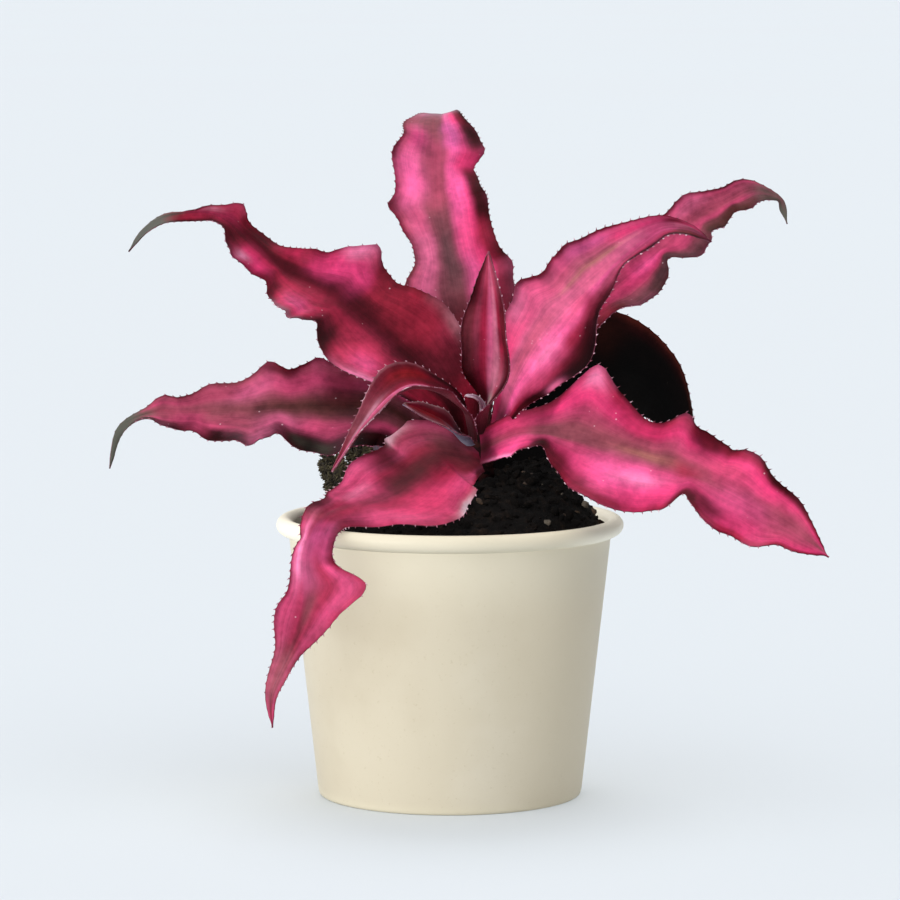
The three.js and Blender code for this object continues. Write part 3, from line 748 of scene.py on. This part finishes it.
upperLeft = dict(
    spine=[
        (3.4, 3, 107.6), (0, 4.4, 118), (-9, 6, 129), (-24, 9, 142), (-38, 15, 152), (-51, 22, 158),
        (-61, 28, 167), (-73, 31, 175), (-86, 31, 174.5), (-94, 30, 170), (-99, 28, 163.5),
    ],
    face=[(0.5, -0.7, 0.5), (0.2, -0.8, 0.6), (0.1, -0.7, 0.7)],
    left=[4, 7, 15, 21.5, 22, 17, 16.5, 11.5, 7.5, 9, 4.5, 3, 2, 0.5],
    right=[4, 11, 18, 21.5, 19, 18, 19, 10.5, 5.5, 4, 3, 2, 1, 0.5],
    leftLobes=[
        (40, -2, 3), (41, -2.5, 2), (45, 3, 2), (46, -1.2, 2), (47, 3.5, 6), (51, 1.5, 3), (58, -4, 3),
        (66, 3, 4), (71, 1.5, 3), (73, -1.5, 3), (79, -1.8, 8), (80, 1, 5),
    ],
    rightLobes=[
        (35, -1.5, 4), (44, 4, 3), (46, -1.2, 3), (50, -3, 3), (59, -1, 3), (59, 2.5, 4), (74, 4, 3),
        (83, -2, 5),
    ],
    colourAndLightPatches=[
        (50, 15, 26, 34, "wine", 90), (25, 0, 13, 35, "maroon", 90), (27, -12, 6, 30, "38090f", 85),
        (45, -25, 24, 20, "crimson", 80), (28, -60, 10, 42, "dc4068", 95), (27, -65, 5, 22, "pink", 60),
        (25.5, -97, 7, 12, "pale", 80), (38, -88, 5.5, 40, "maroon", 95), (48, -62, 9, 36, "d43c64", 90),
        (48, -60, 5, 20, "pink", 60), (48, -98, 7, 10, "mauve", 60), (57.2, -80, 4.5, 50, "wine", 95),
        (63.5, -60, 6, 40, "hot", 95), (65.5, -72, 3, 20, "c88aa8", 70), (71.5, -60, 5, 80, "wine", 92),
        (67, 60, 8, 40, "wine", 90), (78.5, 15, 7, 70, "b83058", 85), (78.5, 60, 3, 30, "d07c94", 60),
        (45.5, 55, 8, 30, "e64480", 95), (45.5, 88, 3, 16, "pale", 70), (50, 62, 5, 28, "hot", 70),
        (39, 90, 5, 20, "wine", 90), (57, 75, 8, 30, "a62448", 85), (28, 60, 12, 40, "a4283f", 90),
        (14, 70, 5, 60, "541620", 70), (16, 40, 6, 60, "6a1c2c", 70), (21, 95, 7, 12, "b0707c", 70),
    ],
    bands=[
        (0, "maroon"), (12, "981e38"), (30, "941c34"), (45, "wine"), (60, "wine"), (75, "8c1a30"),
        (92, "961e36"), (100, "maroon"),
    ],
    curl=[0.4, 0.4, 0.4], wave=(2.5, 4, 0.4, 0.1), seed=7, gain=0.79, tipStart=0.83, tipColour="5c5c56",
    heart=0.75, heartShadeReach=0.16, spines=0.35,
)
growLeaf("leaf_upper_left", upperLeft)

upperRight = dict(
    spine=[
        (13, 0.6, 107.5), (17, -2, 118), (20, -6, 127), (26, -8, 138), (34, -8, 148), (43, -6, 156),
        (53, -3, 165), (63, 0, 172), (72, 2, 172), (79, 3, 168),
    ],
    face=[(-0.7, -0.6, 0.2), (-0.2, -0.9, 0.4), (0, -0.8, 0.6)],
    left=[3, 5, 9, 11, 13.5, 14.2, 14, 12.4, 9.3, 5, 2, 0.5],
    right=[3, 5, 9, 18, 21.5, 20, 9, 4.5, 4.5, 4, 3.5, 0.5],
    leftLobes=[(43, 2.5, 3), (49, -2, 3), (59, 2, 4)],
    colourAndLightPatches=[
        (40, -60, 12, 30, "e0608c", 90), (38, -85, 4, 20, "pale", 50), (60, -50, 13, 30, "b45a72", 85),
        (66, -42, 9, 6, "plum", 60), (62, -33, 14, 6, "b07868", 70), (62, -75, 9, 15, "orchid", 50),
        (33, -12, 14, 20, "c45876", 85), (60, -8, 10, 20, "c85a7c", 80), (30, 25, 15, 22, "ff6ca6", 95),
        (50, 18, 7, 16, "ee6490", 85), (33, 25, 6, 12, "pale", 50), (24, 55, 6, 20, "rose", 85),
        (45, 62, 12, 26, "wine", 95), (42, 45, 6, 14, "crimson", 80), (42, 80, 14, 30, "maroon", 90),
        (42, 97, 16, 22, "night", 97), (21, 90, 5, 14, "maroon", 80), (28, 92, 3, 12, "blush", 70),
        (53, 35, 3.5, 25, "berry", 70), (68, 45, 11, 40, "a84868", 90), (80, 30, 9, 50, "94385a", 85),
        (83, -30, 6, 60, "a0345c", 85), (88, -70, 5, 35, "wine", 90), (92, 30, 5, 80, "brown", 80),
        (45, -98, 5, 10, "wine", 85), (57, -98, 4, 10, "wine", 85), (70, -100, 14, 8, "wine", 80),
        (10, -50, 5, 80, "berry", 70), (6, 30, 5, 100, "maroon", 90),
    ],
    bands=[
        (0, "berry"), (6, "rose"), (20, "hot"), (35, "blush"), (50, "blush"), (62, "pink"), (74, "rose"),
        (84, "crimson"), (94, "maroon"), (100, "night"),
    ],
    curl=[0.1, 0.8, 0.6], wave=(1, 5, 0.3, 0.8), seed=8, gain=0.98, tipColour="4a2028", heartShadeReach=0.1,
    spines=0.65, scales=0.2,
)
growLeaf("leaf_upper_right", upperRight)

heartSmall = dict(
    spine=[(4.2, -2.6, 107.5), (-1, -9, 114), (-7, -15, 118), (-14, -20, 121)],
    face=[(0.3, -0.3, 0.9), (0.1, -0.6, 0.8), (0, -0.7, 0.7)],
    left=[4.5, 7.5, 8.5, 5, 0.5],
    right=[3, 5, 4.5, 3, 0.5],
    colourAndLightPatches=[(60, 0, 7, 50, "8c1c24", 80), (24, -50, 6, 50, "8a7c90", 90), (12, 0, 3, 100, "5c4854", 80)],
    bands=[(0, "a88088"), (12, "plum"), (35, "8c1c28"), (70, "berry"), (92, "plum"), (100, "b08c90")],
    curl=[1, 0.5, 0.4], wave=(0.5, 2, 0, 0.5), seed=9, heart=0.5, lobeHighlight=0, notchShade=0, spines=0.3,
    tipStart=0.95, rim="brokenRim", under="paleUnder",
)
growLeaf("leaf_heart_small", heartSmall)

centreArched = dict(
    spine=[
        (6.6, -4, 109), (4, -10, 118.5), (-3, -15, 124.5), (-11, -21, 127), (-18, -26, 124),
        (-26, -30, 115), (-35, -33, 102),
    ],
    face=[(0.1, -0.4, 0.9), (-0.1, -0.6, 0.8), (-0.4, -0.8, 0.4)],
    left=[2.5, 4, 7, 8, 5.5, 3, 1.3, 0.7, 0.5],
    right=[2.5, 3.5, 4.2, 6, 8.4, 6.2, 3.5, 1.8, 0.5],
    colourAndLightPatches=[
        (15, 0, 12, 120, "maroon", 92), (30, -50, 6, 60, "84303f", 75), (73, 50, 11, 50, "9c5462", 60),
        (47, 50, 8, 30, "901c22", 85), (75, 12, 9, 15, "d898ae", 70), (60, 65, 6, 30, "berry", 50),
        (22, 97, 16, 22, "maroon", 95), (30, -95, 10, 25, "wine", 80),
    ],
    bands=[
        (0, "mauve"), (10, "dusk"), (40, "blush"), (50, "crimson"), (60, "berry"), (80, "berry"),
        (93, "6a2030"), (100, "9c5c68"),
    ],
    curl=[0.5, 1, 0.8], wave=(0.4, 4, 0, 0.5), seed=10, heart=0.5, lobeHighlight=0, notchShade=0, tipStart=0.97,
    tipColour="b08a94", spines=0.6, under="youngUnder", rim="brokenRim",
)
growLeaf("leaf_centre_arched", centreArched)

centreUpright = dict(
    spine=[(10, -3, 110.5), (11.5, -5.5, 120), (12, -9, 134), (12, -12, 150), (11.5, -12, 166)],
    face=[(-0.6, 0.2, 0.5), (-0.4, -0.9, 0), (-0.4, -0.9, 0)],
    left=[2.5, 6, 8.5, 9.5, 8.5, 4.5, 0.5],
    right=[2.5, 9, 10.5, 11, 8, 4.5, 0.5],
    rightLobes=[(30, 3, 8)],
    colourAndLightPatches=[
        (35, -90, 10, 40, "maroon", 90), (60, 70, 10, 30, "6a1c28", 85), (55, -72, 9, 25, "823844", 75),
        (33, 25, 6, 30, "c87890", 60), (20, 30, 2.5, 25, "c8b4b0", 80), (20, -30, 6, 60, "maroon", 90),
        (90, 30, 8, 80, "dusk", 70), (62, -45, 12, 12, "dusk", 50),
    ],
    bands=[
        (0, "maroon"), (8, "wine"), (25, "berry"), (40, "crimson"), (50, "c2547c"), (62, "c86c88"),
        (70, "crimson"), (80, "wine"), (92, "maroon"), (100, "plum"),
    ],
    curl=[0.5, 1.2, 0.9], wave=(0.4, 3, 0, 0.5), seed=13, heart=0.6, lobeHighlight=0, notchShade=0, tipStart=0.98,
    tipColour="905a68", spines=0.5, under="youngUnder",
)
growLeaf("leaf_centre_upright", centreUpright)

heartCurl = dict(
    spine=[(9, 0.4, 111.5), (10.2, -1.5, 115.5), (9.6, -4, 119.3), (7.6, -6, 121.6), (4.6, -7.5, 122.3)],
    face=[(0, -1, 0.2), (0, -0.9, 0.5), (0.3, -0.5, 0.6)],
    left=[1, 1.1, 1, 0.5],
    right=[1, 1.1, 1, 0.5],
    colourAndLightPatches=[(60, 0, 5, 60, "mauve", 50)],
    bands=[(0, "d8c8d8"), (30, "b890a8"), (50, "a87890"), (70, "b890a8"), (100, "d8c8d8")],
    curl=[0.6, 0.6, 0.6], wave=(0, 1, 0, 0), seed=14, lobeHighlight=0, notchShade=0, heart=0.2, spines=0.5,
    tipColour="d8c8d8", lobeLift=0, ruffle=0, rim="paleRim",
)
growLeaf("leaf_heart_curl", heartCurl)


def turned(name, profile, segments):
    # a filled circle drawn up ring by ring through (radius, height) pairs in mm, closed at its middle
    clearSelection()
    radius, height = profile[0]
    bpy.ops.mesh.primitive_circle_add(vertices=segments, radius=radius * mm, fill_type="NGON",
                                      location=(0, 0, height * mm))
    piece = bpy.context.object
    piece.name = name
    bpy.ops.object.transform_apply(location=True)
    bpy.ops.object.mode_set(mode="EDIT")
    bpy.ops.mesh.select_mode(type="EDGE")
    bpy.ops.mesh.select_all(action="SELECT")
    bpy.ops.mesh.flip_normals()
    for newRadius, newHeight in profile[1:]:
        bpy.ops.mesh.extrude_region_move()
        share = max(newRadius, 0.001) / radius
        bpy.ops.transform.translate(value=(0, 0, (newHeight - height) * mm))
        bpy.ops.transform.resize(value=(share, share, 1), center_override=(0, 0, 0))
        radius, height = max(newRadius, 0.001), newHeight
    bpy.ops.mesh.merge(type="CENTER")
    bpy.ops.object.mode_set(mode="OBJECT")
    return piece


pot = {
    "height": 85.0, "footRadius": 40.0, "rimRadius": 49.5, "beadRadius": 2.6, "wall": 2.0, "floor": 3.0,
    "segments": 160, "beadSteps": 20, "smoothAngle": 40,
    "footCurve": [(38.9, 0.0), (39.5, 0.12), (39.85, 0.45), (40.05, 1.0)],
    "outerHeights": (2, 6, 20, 40, 60, 74, 78.6), "innerHeights": (79, 70, 40, 8),
    "glaze": [(0.3, "c8bda6"), (0.5, "cfc5af"), (0.7, "d5ccb8")], "dust": "b8ab8c",
    # painted light: the wall is lighter at its foot, at its right side and under the bead, to lift the shade
    # that falls there:
    # colour, where it starts and where it is full in metres, and how far it goes
    "footPaintedLight": ("e4dcc2", 0.004, 0.0, 0.35), "rightPaintedLight": ("ecdfc4", 0.008, 0.034, 0.5),
    "underBeadPaintedLight": ("e6dec8", 0.055, 0.078, 0.55),
    # painted light: the bead is lighter towards both sides, where it turns away from the light
    "beadPaintedLight": "fdf6e2", "beadFrom": (0.0788, 0.0798), "beadSides": (0.03, 0.048),
}


def wallRadius(z):
    return pot["footRadius"] + (pot["rimRadius"] - pot["footRadius"]) * z / pot["height"]


def potProfile():
    # up the outside, round the bead, down the inside and in over the floor
    beadZ = pot["height"] - pot["beadRadius"]
    beadMiddle = pot["rimRadius"] - pot["wall"] + pot["beadRadius"]
    profile = pot["footCurve"] + [(wallRadius(z), z) for z in pot["outerHeights"]]
    profile.append((wallRadius(79.4) + 0.15, 79.5))   # the neck under the bead
    for step in range(pot["beadSteps"] + 1):
        angle = (1.5 * step / pot["beadSteps"] - 0.5) * math.pi
        profile.append((beadMiddle + pot["beadRadius"] * math.cos(angle),
                        beadZ + pot["beadRadius"] * math.sin(angle)))
    profile += [(wallRadius(z) - pot["wall"], z) for z in pot["innerHeights"]]
    return profile + [(wallRadius(pot["floor"]) - 5, pot["floor"]), (20, pot["floor"])]


def potFinish():
    finish, tree, shader = newFinish("creamGlaze")
    place = objectSpace(tree)
    x, _, z = split(tree, place)
    mottle = cloud(tree, place, 18.0, 4.0, 0.55)
    dust = cloud(tree, place, 900.0, 3.0, 0.6)
    colour = tinted(tree, ramp(tree, mottle, pot["glaze"]), pot["dust"], dust, 0.6, 0.75, 0.35)
    # painted light on the wall, against the shade at its foot, its right side and under the bead
    for axis, key in ((z, "footPaintedLight"), (x, "rightPaintedLight"), (z, "underBeadPaintedLight")):
        code, start, full, most = pot[key]
        colour = tinted(tree, colour, code, axis, start, full, most)
    # painted light on the bead's sides
    flank = spread(tree, sums(tree, "ABSOLUTE", x), *pot["beadSides"])
    bead = sums(tree, "MULTIPLY", spread(tree, z, *pot["beadFrom"]), flank)
    colour = blendColour(tree, bead, colour, paint(pot["beadPaintedLight"]))
    coat(tree, shader, colour, spread(tree, mottle, 0.3, 0.7, 0.36, 0.48), 0.12)
    relief(tree, shader, sums(tree, "MULTIPLY_ADD", cloud(tree, place, 60.0), 3.0, dust), 0.12, 0.00015)
    return finish


potPiece = turned("pot_body", potProfile(), pot["segments"])
potPiece.data.materials.append(potFinish())
smoothBy(potPiece, pot["smoothAngle"])
settle(potPiece, "pot")


soil = {
    "edgeZ": 79.5, "moundHeight": 17.0, "power": 2.9, "rings": 78, "segments": 200, "smoothAngle": 60,
    "edgeRadius": wallRadius(79.5) - pot["wall"] - 0.3,
    "foot": (37.5, 3.3),             # radius and height in mm
    "lean": (17.0, 8.0),             # mm that the mound's top stands off the pot's middle, right and back
    "heap": (28.0, 4.0, 5.5, 12.0),  # place, height and reach in mm of the heap behind the stem
    "colours": [(0.32, "040303"), (0.52, "0b0807"), (0.64, "18110d"), (0.78, "30251d")],
    "fibre": "5a4636",
    "edgeTint": ("3a281c", 0.0845, 0.0795, 0.8),   # browner soil by the rim, given like the pot's painted light
    # clods of four sizes: noise scale per mm, mm high, shift of the noise, and whether it is folded up
    "clods": [(0.11, 1.2, (0, 0, 0), False), (0.33, 1.8, (9, 4, 0), True), (0.95, 1.1, (2, 7, 0), True),
              (2.6, 0.3, (0, 0, 0), False)],
    "settled": 0.7,
    "crumbs": 900, "crumbSize": (0.5, 1.5), "crumbStretch": ((0.6, 1.4), (0.6, 1.4), (0.45, 0.9)),
    "plainCrumbs": 0.94, "seed": 7,
}
# each tuft goes from its foot to its top, with its reach at either end, in mm
moss = {
    "tufts": [((-27, -6, 80), (-36, -8.5, 103), 8.0, 4.0), ((-20, 3, 84), (-28, 1, 105.5), 9.5, 4.2)],
    "lumps": 30, "lumpSize": 0.62, "leaflets": 1300, "leaflet": (0.42, 0.21, 1.5), "flatter": (1, 1, 0.8),
    "seed": 5,
}


def moundTop(radius):
    # height of the smooth mound under a ring point
    return soil["edgeZ"] + soil["moundHeight"] * (1 - min(1.0, radius / soil["edgeRadius"]) ** soil["power"])


def onMound(x, y):
    # where a ring point ends up once the mound leans
    inward = 1 - math.hypot(x, y) / soil["edgeRadius"]
    return x + soil["lean"][0] * inward, y + soil["lean"][1] * inward


def soilHeight(x, y):
    # mm that the clods and the heap stand over the smooth mound
    heapX, heapY, heapHeight, heapReach = soil["heap"]
    rise = heapHeight * math.exp(-((x - heapX) ** 2 + (y - heapY) ** 2) / heapReach ** 2)
    for scale, height, shift, folded in soil["clods"]:
        value = noise.noise(Vector((x, y, 0.0)) * scale + Vector(shift))
        rise += height * (abs(value) if folded else value)
    return rise - soil["settled"]


def soilFinish():
    finish, tree, shader = newFinish("pottingSoil")
    place = objectSpace(tree)
    clods = cloud(tree, place, 260.0, 4.0, 0.65)
    fibre = cloud(tree, place, 1300.0, 3.0, 0.7)
    colour = tinted(tree, ramp(tree, clods, soil["colours"]), soil["fibre"], fibre, 0.64, 0.76, 0.4)
    code, start, full, most = soil["edgeTint"]
    colour = tinted(tree, colour, code, split(tree, place)[2], start, full, most)
    coat(tree, shader, colour, 0.92, 0.1)
    relief(tree, shader, sums(tree, "MULTIPLY_ADD", clods, 2.0, fibre), 0.8, 0.0006)
    return finish


def pebbleModel(level):
    clearSelection()
    bpy.ops.mesh.primitive_ico_sphere_add(subdivisions=level, radius=1.0)
    return shapeOf(bpy.context.object)


def scatterCrumbs():
    draw = random.Random(soil["seed"])
    base, faces = pebbleModel(2)
    copies, kinds = [], []
    smallest, more = soil["crumbSize"]
    for number in range(soil["crumbs"]):
        radius = soil["edgeRadius"] * math.sqrt(draw.random()) * 0.97
        turn = draw.uniform(0, 2 * math.pi)
        x, y = onMound(radius * math.cos(turn), radius * math.sin(turn))
        size = smallest + more * draw.random() ** 3
        kind = 0 if draw.random() < soil["plainCrumbs"] else draw.choice((1, 1, 2))
        drift = Vector((number * 3.1, 0, 0))
        bumps = np.array([1 + 0.55 * noise.noise(Vector(p) * 1.4 + drift) for p in base])
        stretch = np.array([draw.uniform(*limits) for limits in soil["crumbStretch"]])
        angle = draw.uniform(0, 6.28)
        axis = Vector((draw.uniform(-1, 1), draw.uniform(-1, 1), draw.uniform(0.2, 1)))
        spin = np.array(Matrix.Rotation(angle, 3, axis.normalized()))
        shaped = (base * bumps[:, None] * stretch * size) @ spin.T
        copies.append(shaped + np.array([x, y, moundTop(radius) + soilHeight(x, y) + 0.15 * size]))
        kinds.extend([kind] * len(faces))
    crumbs = manyCopies("crumbs", copies, faces)
    for finish in soilPiece.data.materials[:3]:
        crumbs.data.materials.append(finish)
    crumbs.data.polygons.foreach_set("material_index", kinds)
    return crumbs


def growMoss():
    # tufts that lean out over the rim: dark lumps inside, small pointed leaflets all over them
    draw = random.Random(moss["seed"])
    base, faces = pebbleModel(1)
    copies = []
    parts = [(tuft, n) for tuft in moss["tufts"] for n in range(moss["lumps"] + moss["leaflets"])]
    for (foot, top, footReach, topReach), number in parts:
        foot, top = np.array(foot), np.array(top)
        lump = number < moss["lumps"]
        share = number / moss["lumps"] if lump else draw.random() ** 0.8
        out = unit(np.array([draw.gauss(0, 1), draw.gauss(0, 1), draw.gauss(0.2, 1)]))
        uneven = 1 + 0.35 * noise.noise(Vector(out * 1.5) + Vector((0, 0, share * 6)))
        reach = (footReach + (topReach - footReach) * share) * uneven
        if lump:
            shaped = base * reach * moss["lumpSize"]
        else:
            lean = Vector(out + np.array([draw.gauss(0, 0.5) for _ in range(3)]))
            turn = np.array(Vector((0, 0, 1)).rotation_difference(lean).to_matrix())
            wide, thick, length = moss["leaflet"]
            shaped = (base * np.array([wide, thick, length * draw.uniform(0.6, 1.3)])) @ turn.T
        outward = out * reach * (0.35 if lump else 0.9) * np.array(moss["flatter"])
        copies.append(shaped + foot + (top - foot) * share + outward)
    tuft = manyCopies("moss", copies, faces)
    tuft.data.materials.append(soilPiece.data.materials["mossLeaflets"])
    return tuft


rings = [soil["edgeRadius"] * (1 - ring / soil["rings"]) for ring in range(soil["rings"])]
soilProfile = [soil["foot"], (soil["edgeRadius"] - 0.5, soil["edgeZ"] - 1.5)]
soilProfile += [(radius, moundTop(radius)) for radius in rings]
soilPiece = turned("soil_mound", soilProfile, soil["segments"])
for vertex in soilPiece.data.vertices:
    x, y, z = (c / mm for c in vertex.co)
    if z > soil["edgeZ"] + 0.05:
        newX, newY = onMound(x, y)
        fade = min(1.0, (z - soil["edgeZ"]) / 2.0)
        vertex.co = Vector((newX, newY, z + soilHeight(newX, newY) * fade)) * mm

soilPiece.data.materials.append(soilFinish())
for name, stops in (
    ("barkBit", [(0.3, "1e140e"), (0.5, "3a2a1e"), (0.7, "5c4634")]),
    ("paleBit", [(0.3, "2c2620"), (0.5, "4c443a"), (0.7, "6a6054")]),
    ("mossLeaflets", [(0.3, "0e0c08"), (0.45, "2c2418"), (0.55, "403a24"), (0.68, "625840")]),
):
    bit = grainyFinish(name, stops, (420.0, 3.0, 0.6), 0.9, bump=(1500.0, 0.6, 0.0003))
    soilPiece.data.materials.append(bit)
pick(soilPiece, scatterCrumbs(), growMoss())
bpy.ops.object.join()
smoothBy(soilPiece, soil["smoothAngle"])
settle(soilPiece, "soil")


stem = {
    "x": 8.0, "radius": 6.0, "topRadius": 3.0, "bottomZ": 82.5, "topZ": 110.0, "scars": 9, "scarLip": 0.45,
    "segments": 48, "smoothAngle": 45, "colours": [(0.3, "0c0405"), (0.5, "1e0a0c"), (0.7, "3a1a18")],
}

stemProfile = [(stem["radius"], stem["bottomZ"])]
for step in range(1, 4 * stem["scars"]):
    share = step / (4 * stem["scars"])
    taper = max(0.0, (share - 0.5) * 2) ** 1.5 * (stem["radius"] - stem["topRadius"])
    lip = stem["scarLip"] * (step % 4) / 3
    height = stem["bottomZ"] + (stem["topZ"] - stem["bottomZ"]) * share
    stemProfile.append((stem["radius"] - taper - lip, height))
stemProfile += [(2.2, stem["topZ"]), (1.0, stem["topZ"] + 0.5)]
stemPiece = turned("stem_core", stemProfile, stem["segments"])
for vertex in stemPiece.data.vertices:
    vertex.co.x += stem["x"] * mm
# the stem is near black: dark old leaf bases, and painted shade from the leaves over it
scars = grainyFinish("darkScarsAndPaintedShade", stem["colours"], (220.0, 4.0, 0.6), 0.8, 0.1, (800.0, 0.6, 0.0004))
stemPiece.data.materials.append(scars)
smoothBy(stemPiece, stem["smoothAngle"])
settle(stemPiece, "stem")


studio = {
    "floorSize": 240.0, "floorMiddle": (0, 60, 0), "floorColours": [(0.0, "dbe1e7"), (1.0, "dbe2e8")],
    "skyLeft": 0.78, "skyRight": 0.05, "skyTop": 0.52, "skyTint": "fdfcfb", "backdrop": "e9eff5",
    # each sun has its place, strength, spread in degrees and aim
    "key": ((-1, -1, 2), 0.75, 80.0, (-0.2, 0.25, -1.0)),
    "back": ((0, 2, 2), 0.7, 40.0, (0.0, -0.6, -1.0)),
    "fill": ((-2, -2, 1), 2.15, 30.0, (0.66, 0.70, -0.36)),
}

clearSelection()
bpy.ops.mesh.primitive_plane_add(size=studio["floorSize"], location=studio["floorMiddle"])
floor = bpy.context.object
floor.name = "floor"
floorFinish, floorTree, floorShader = newFinish("paleFloor")
floorShade = cloud(floorTree, objectSpace(floorTree), 0.4, 1.0)
coat(floorTree, floorShader, ramp(floorTree, floorShade, studio["floorColours"]), 1.0, 0.0)
floor.data.materials.append(floorFinish)

world = bpy.data.worlds.new("studioSky")
bpy.context.scene.world = world
world.use_nodes = True
skyTree = world.node_tree
sky = skyTree.nodes["Background"]
skyX, _, skyZ = split(skyTree, skyTree.nodes.new("ShaderNodeTexCoord").outputs["Generated"])
skySide = spread(skyTree, skyX, 0.9, -0.9, studio["skyRight"], studio["skyLeft"])
skyTop = sums(skyTree, "SUBTRACT", studio["skyTop"], skySide)
skyLight = sums(skyTree, "MULTIPLY_ADD", spread(skyTree, skyZ, 0.05, 0.7), skyTop, skySide)
plug(skyTree, sky.inputs["Strength"], skyLight)
plug(skyTree, sky.inputs["Color"], paint(studio["skyTint"]))
# past the floor's far edge the camera sees a backdrop about as pale as the floor
backdrop = skyTree.nodes.new("ShaderNodeBackground")
plug(skyTree, backdrop.inputs["Color"], paint(studio["backdrop"]))
seen = skyTree.nodes.new("ShaderNodeMixShader")
isCamera = skyTree.nodes.new("ShaderNodeLightPath").outputs["Is Camera Ray"]
for socket, value in zip(seen.inputs, (isCamera, sky.outputs[0], backdrop.outputs[0])):
    plug(skyTree, socket, value)
plug(skyTree, skyTree.nodes["World Output"].inputs["Surface"], seen.outputs[0])


def hangSun(name):
    place, strength, degrees, aim = studio[name]
    clearSelection()
    bpy.ops.object.light_add(type="SUN", location=place)
    sun = bpy.context.object
    sun.name = name
    sun.data.energy = strength
    sun.data.angle = math.radians(degrees)
    sun.rotation_euler = Vector(aim).to_track_quat("-Z", "Y").to_euler()
    return sun


hangSun("key")
# a soft light from behind, which only the pot shades, for the shade at its foot
shading = bpy.data.collections.new("shading")
shading.objects.link(potPiece)
hangSun("back").light_linking.blocker_collection = shading
# a flat fill from the front left, which casts no shadow
hangSun("fill").data.use_shadow = False

# the camera's distance and its target are in mm
view = {
    "distance": 1364.0, "elevation": 6.0, "targetZ": 105.0, "lens": 180.0, "sensor": 36.0,
    "nearest": 0.1, "farthest": 600.0,
}
tilt = math.radians(view["elevation"])
ahead, above = view["distance"] * math.cos(tilt), view["targetZ"] + view["distance"] * math.sin(tilt)
bpy.ops.object.camera_add(location=(0, -ahead * mm, above * mm))
camera = bpy.context.object
camera.rotation_euler = (math.pi / 2 - tilt, 0, 0)
camera.data.lens = view["lens"]
camera.data.sensor_width = view["sensor"]
camera.data.clip_start = view["nearest"]
camera.data.clip_end = view["farthest"]
bpy.context.scene.camera = camera
bpy.context.scene.view_settings.view_transform = "Standard"
print("stage set")
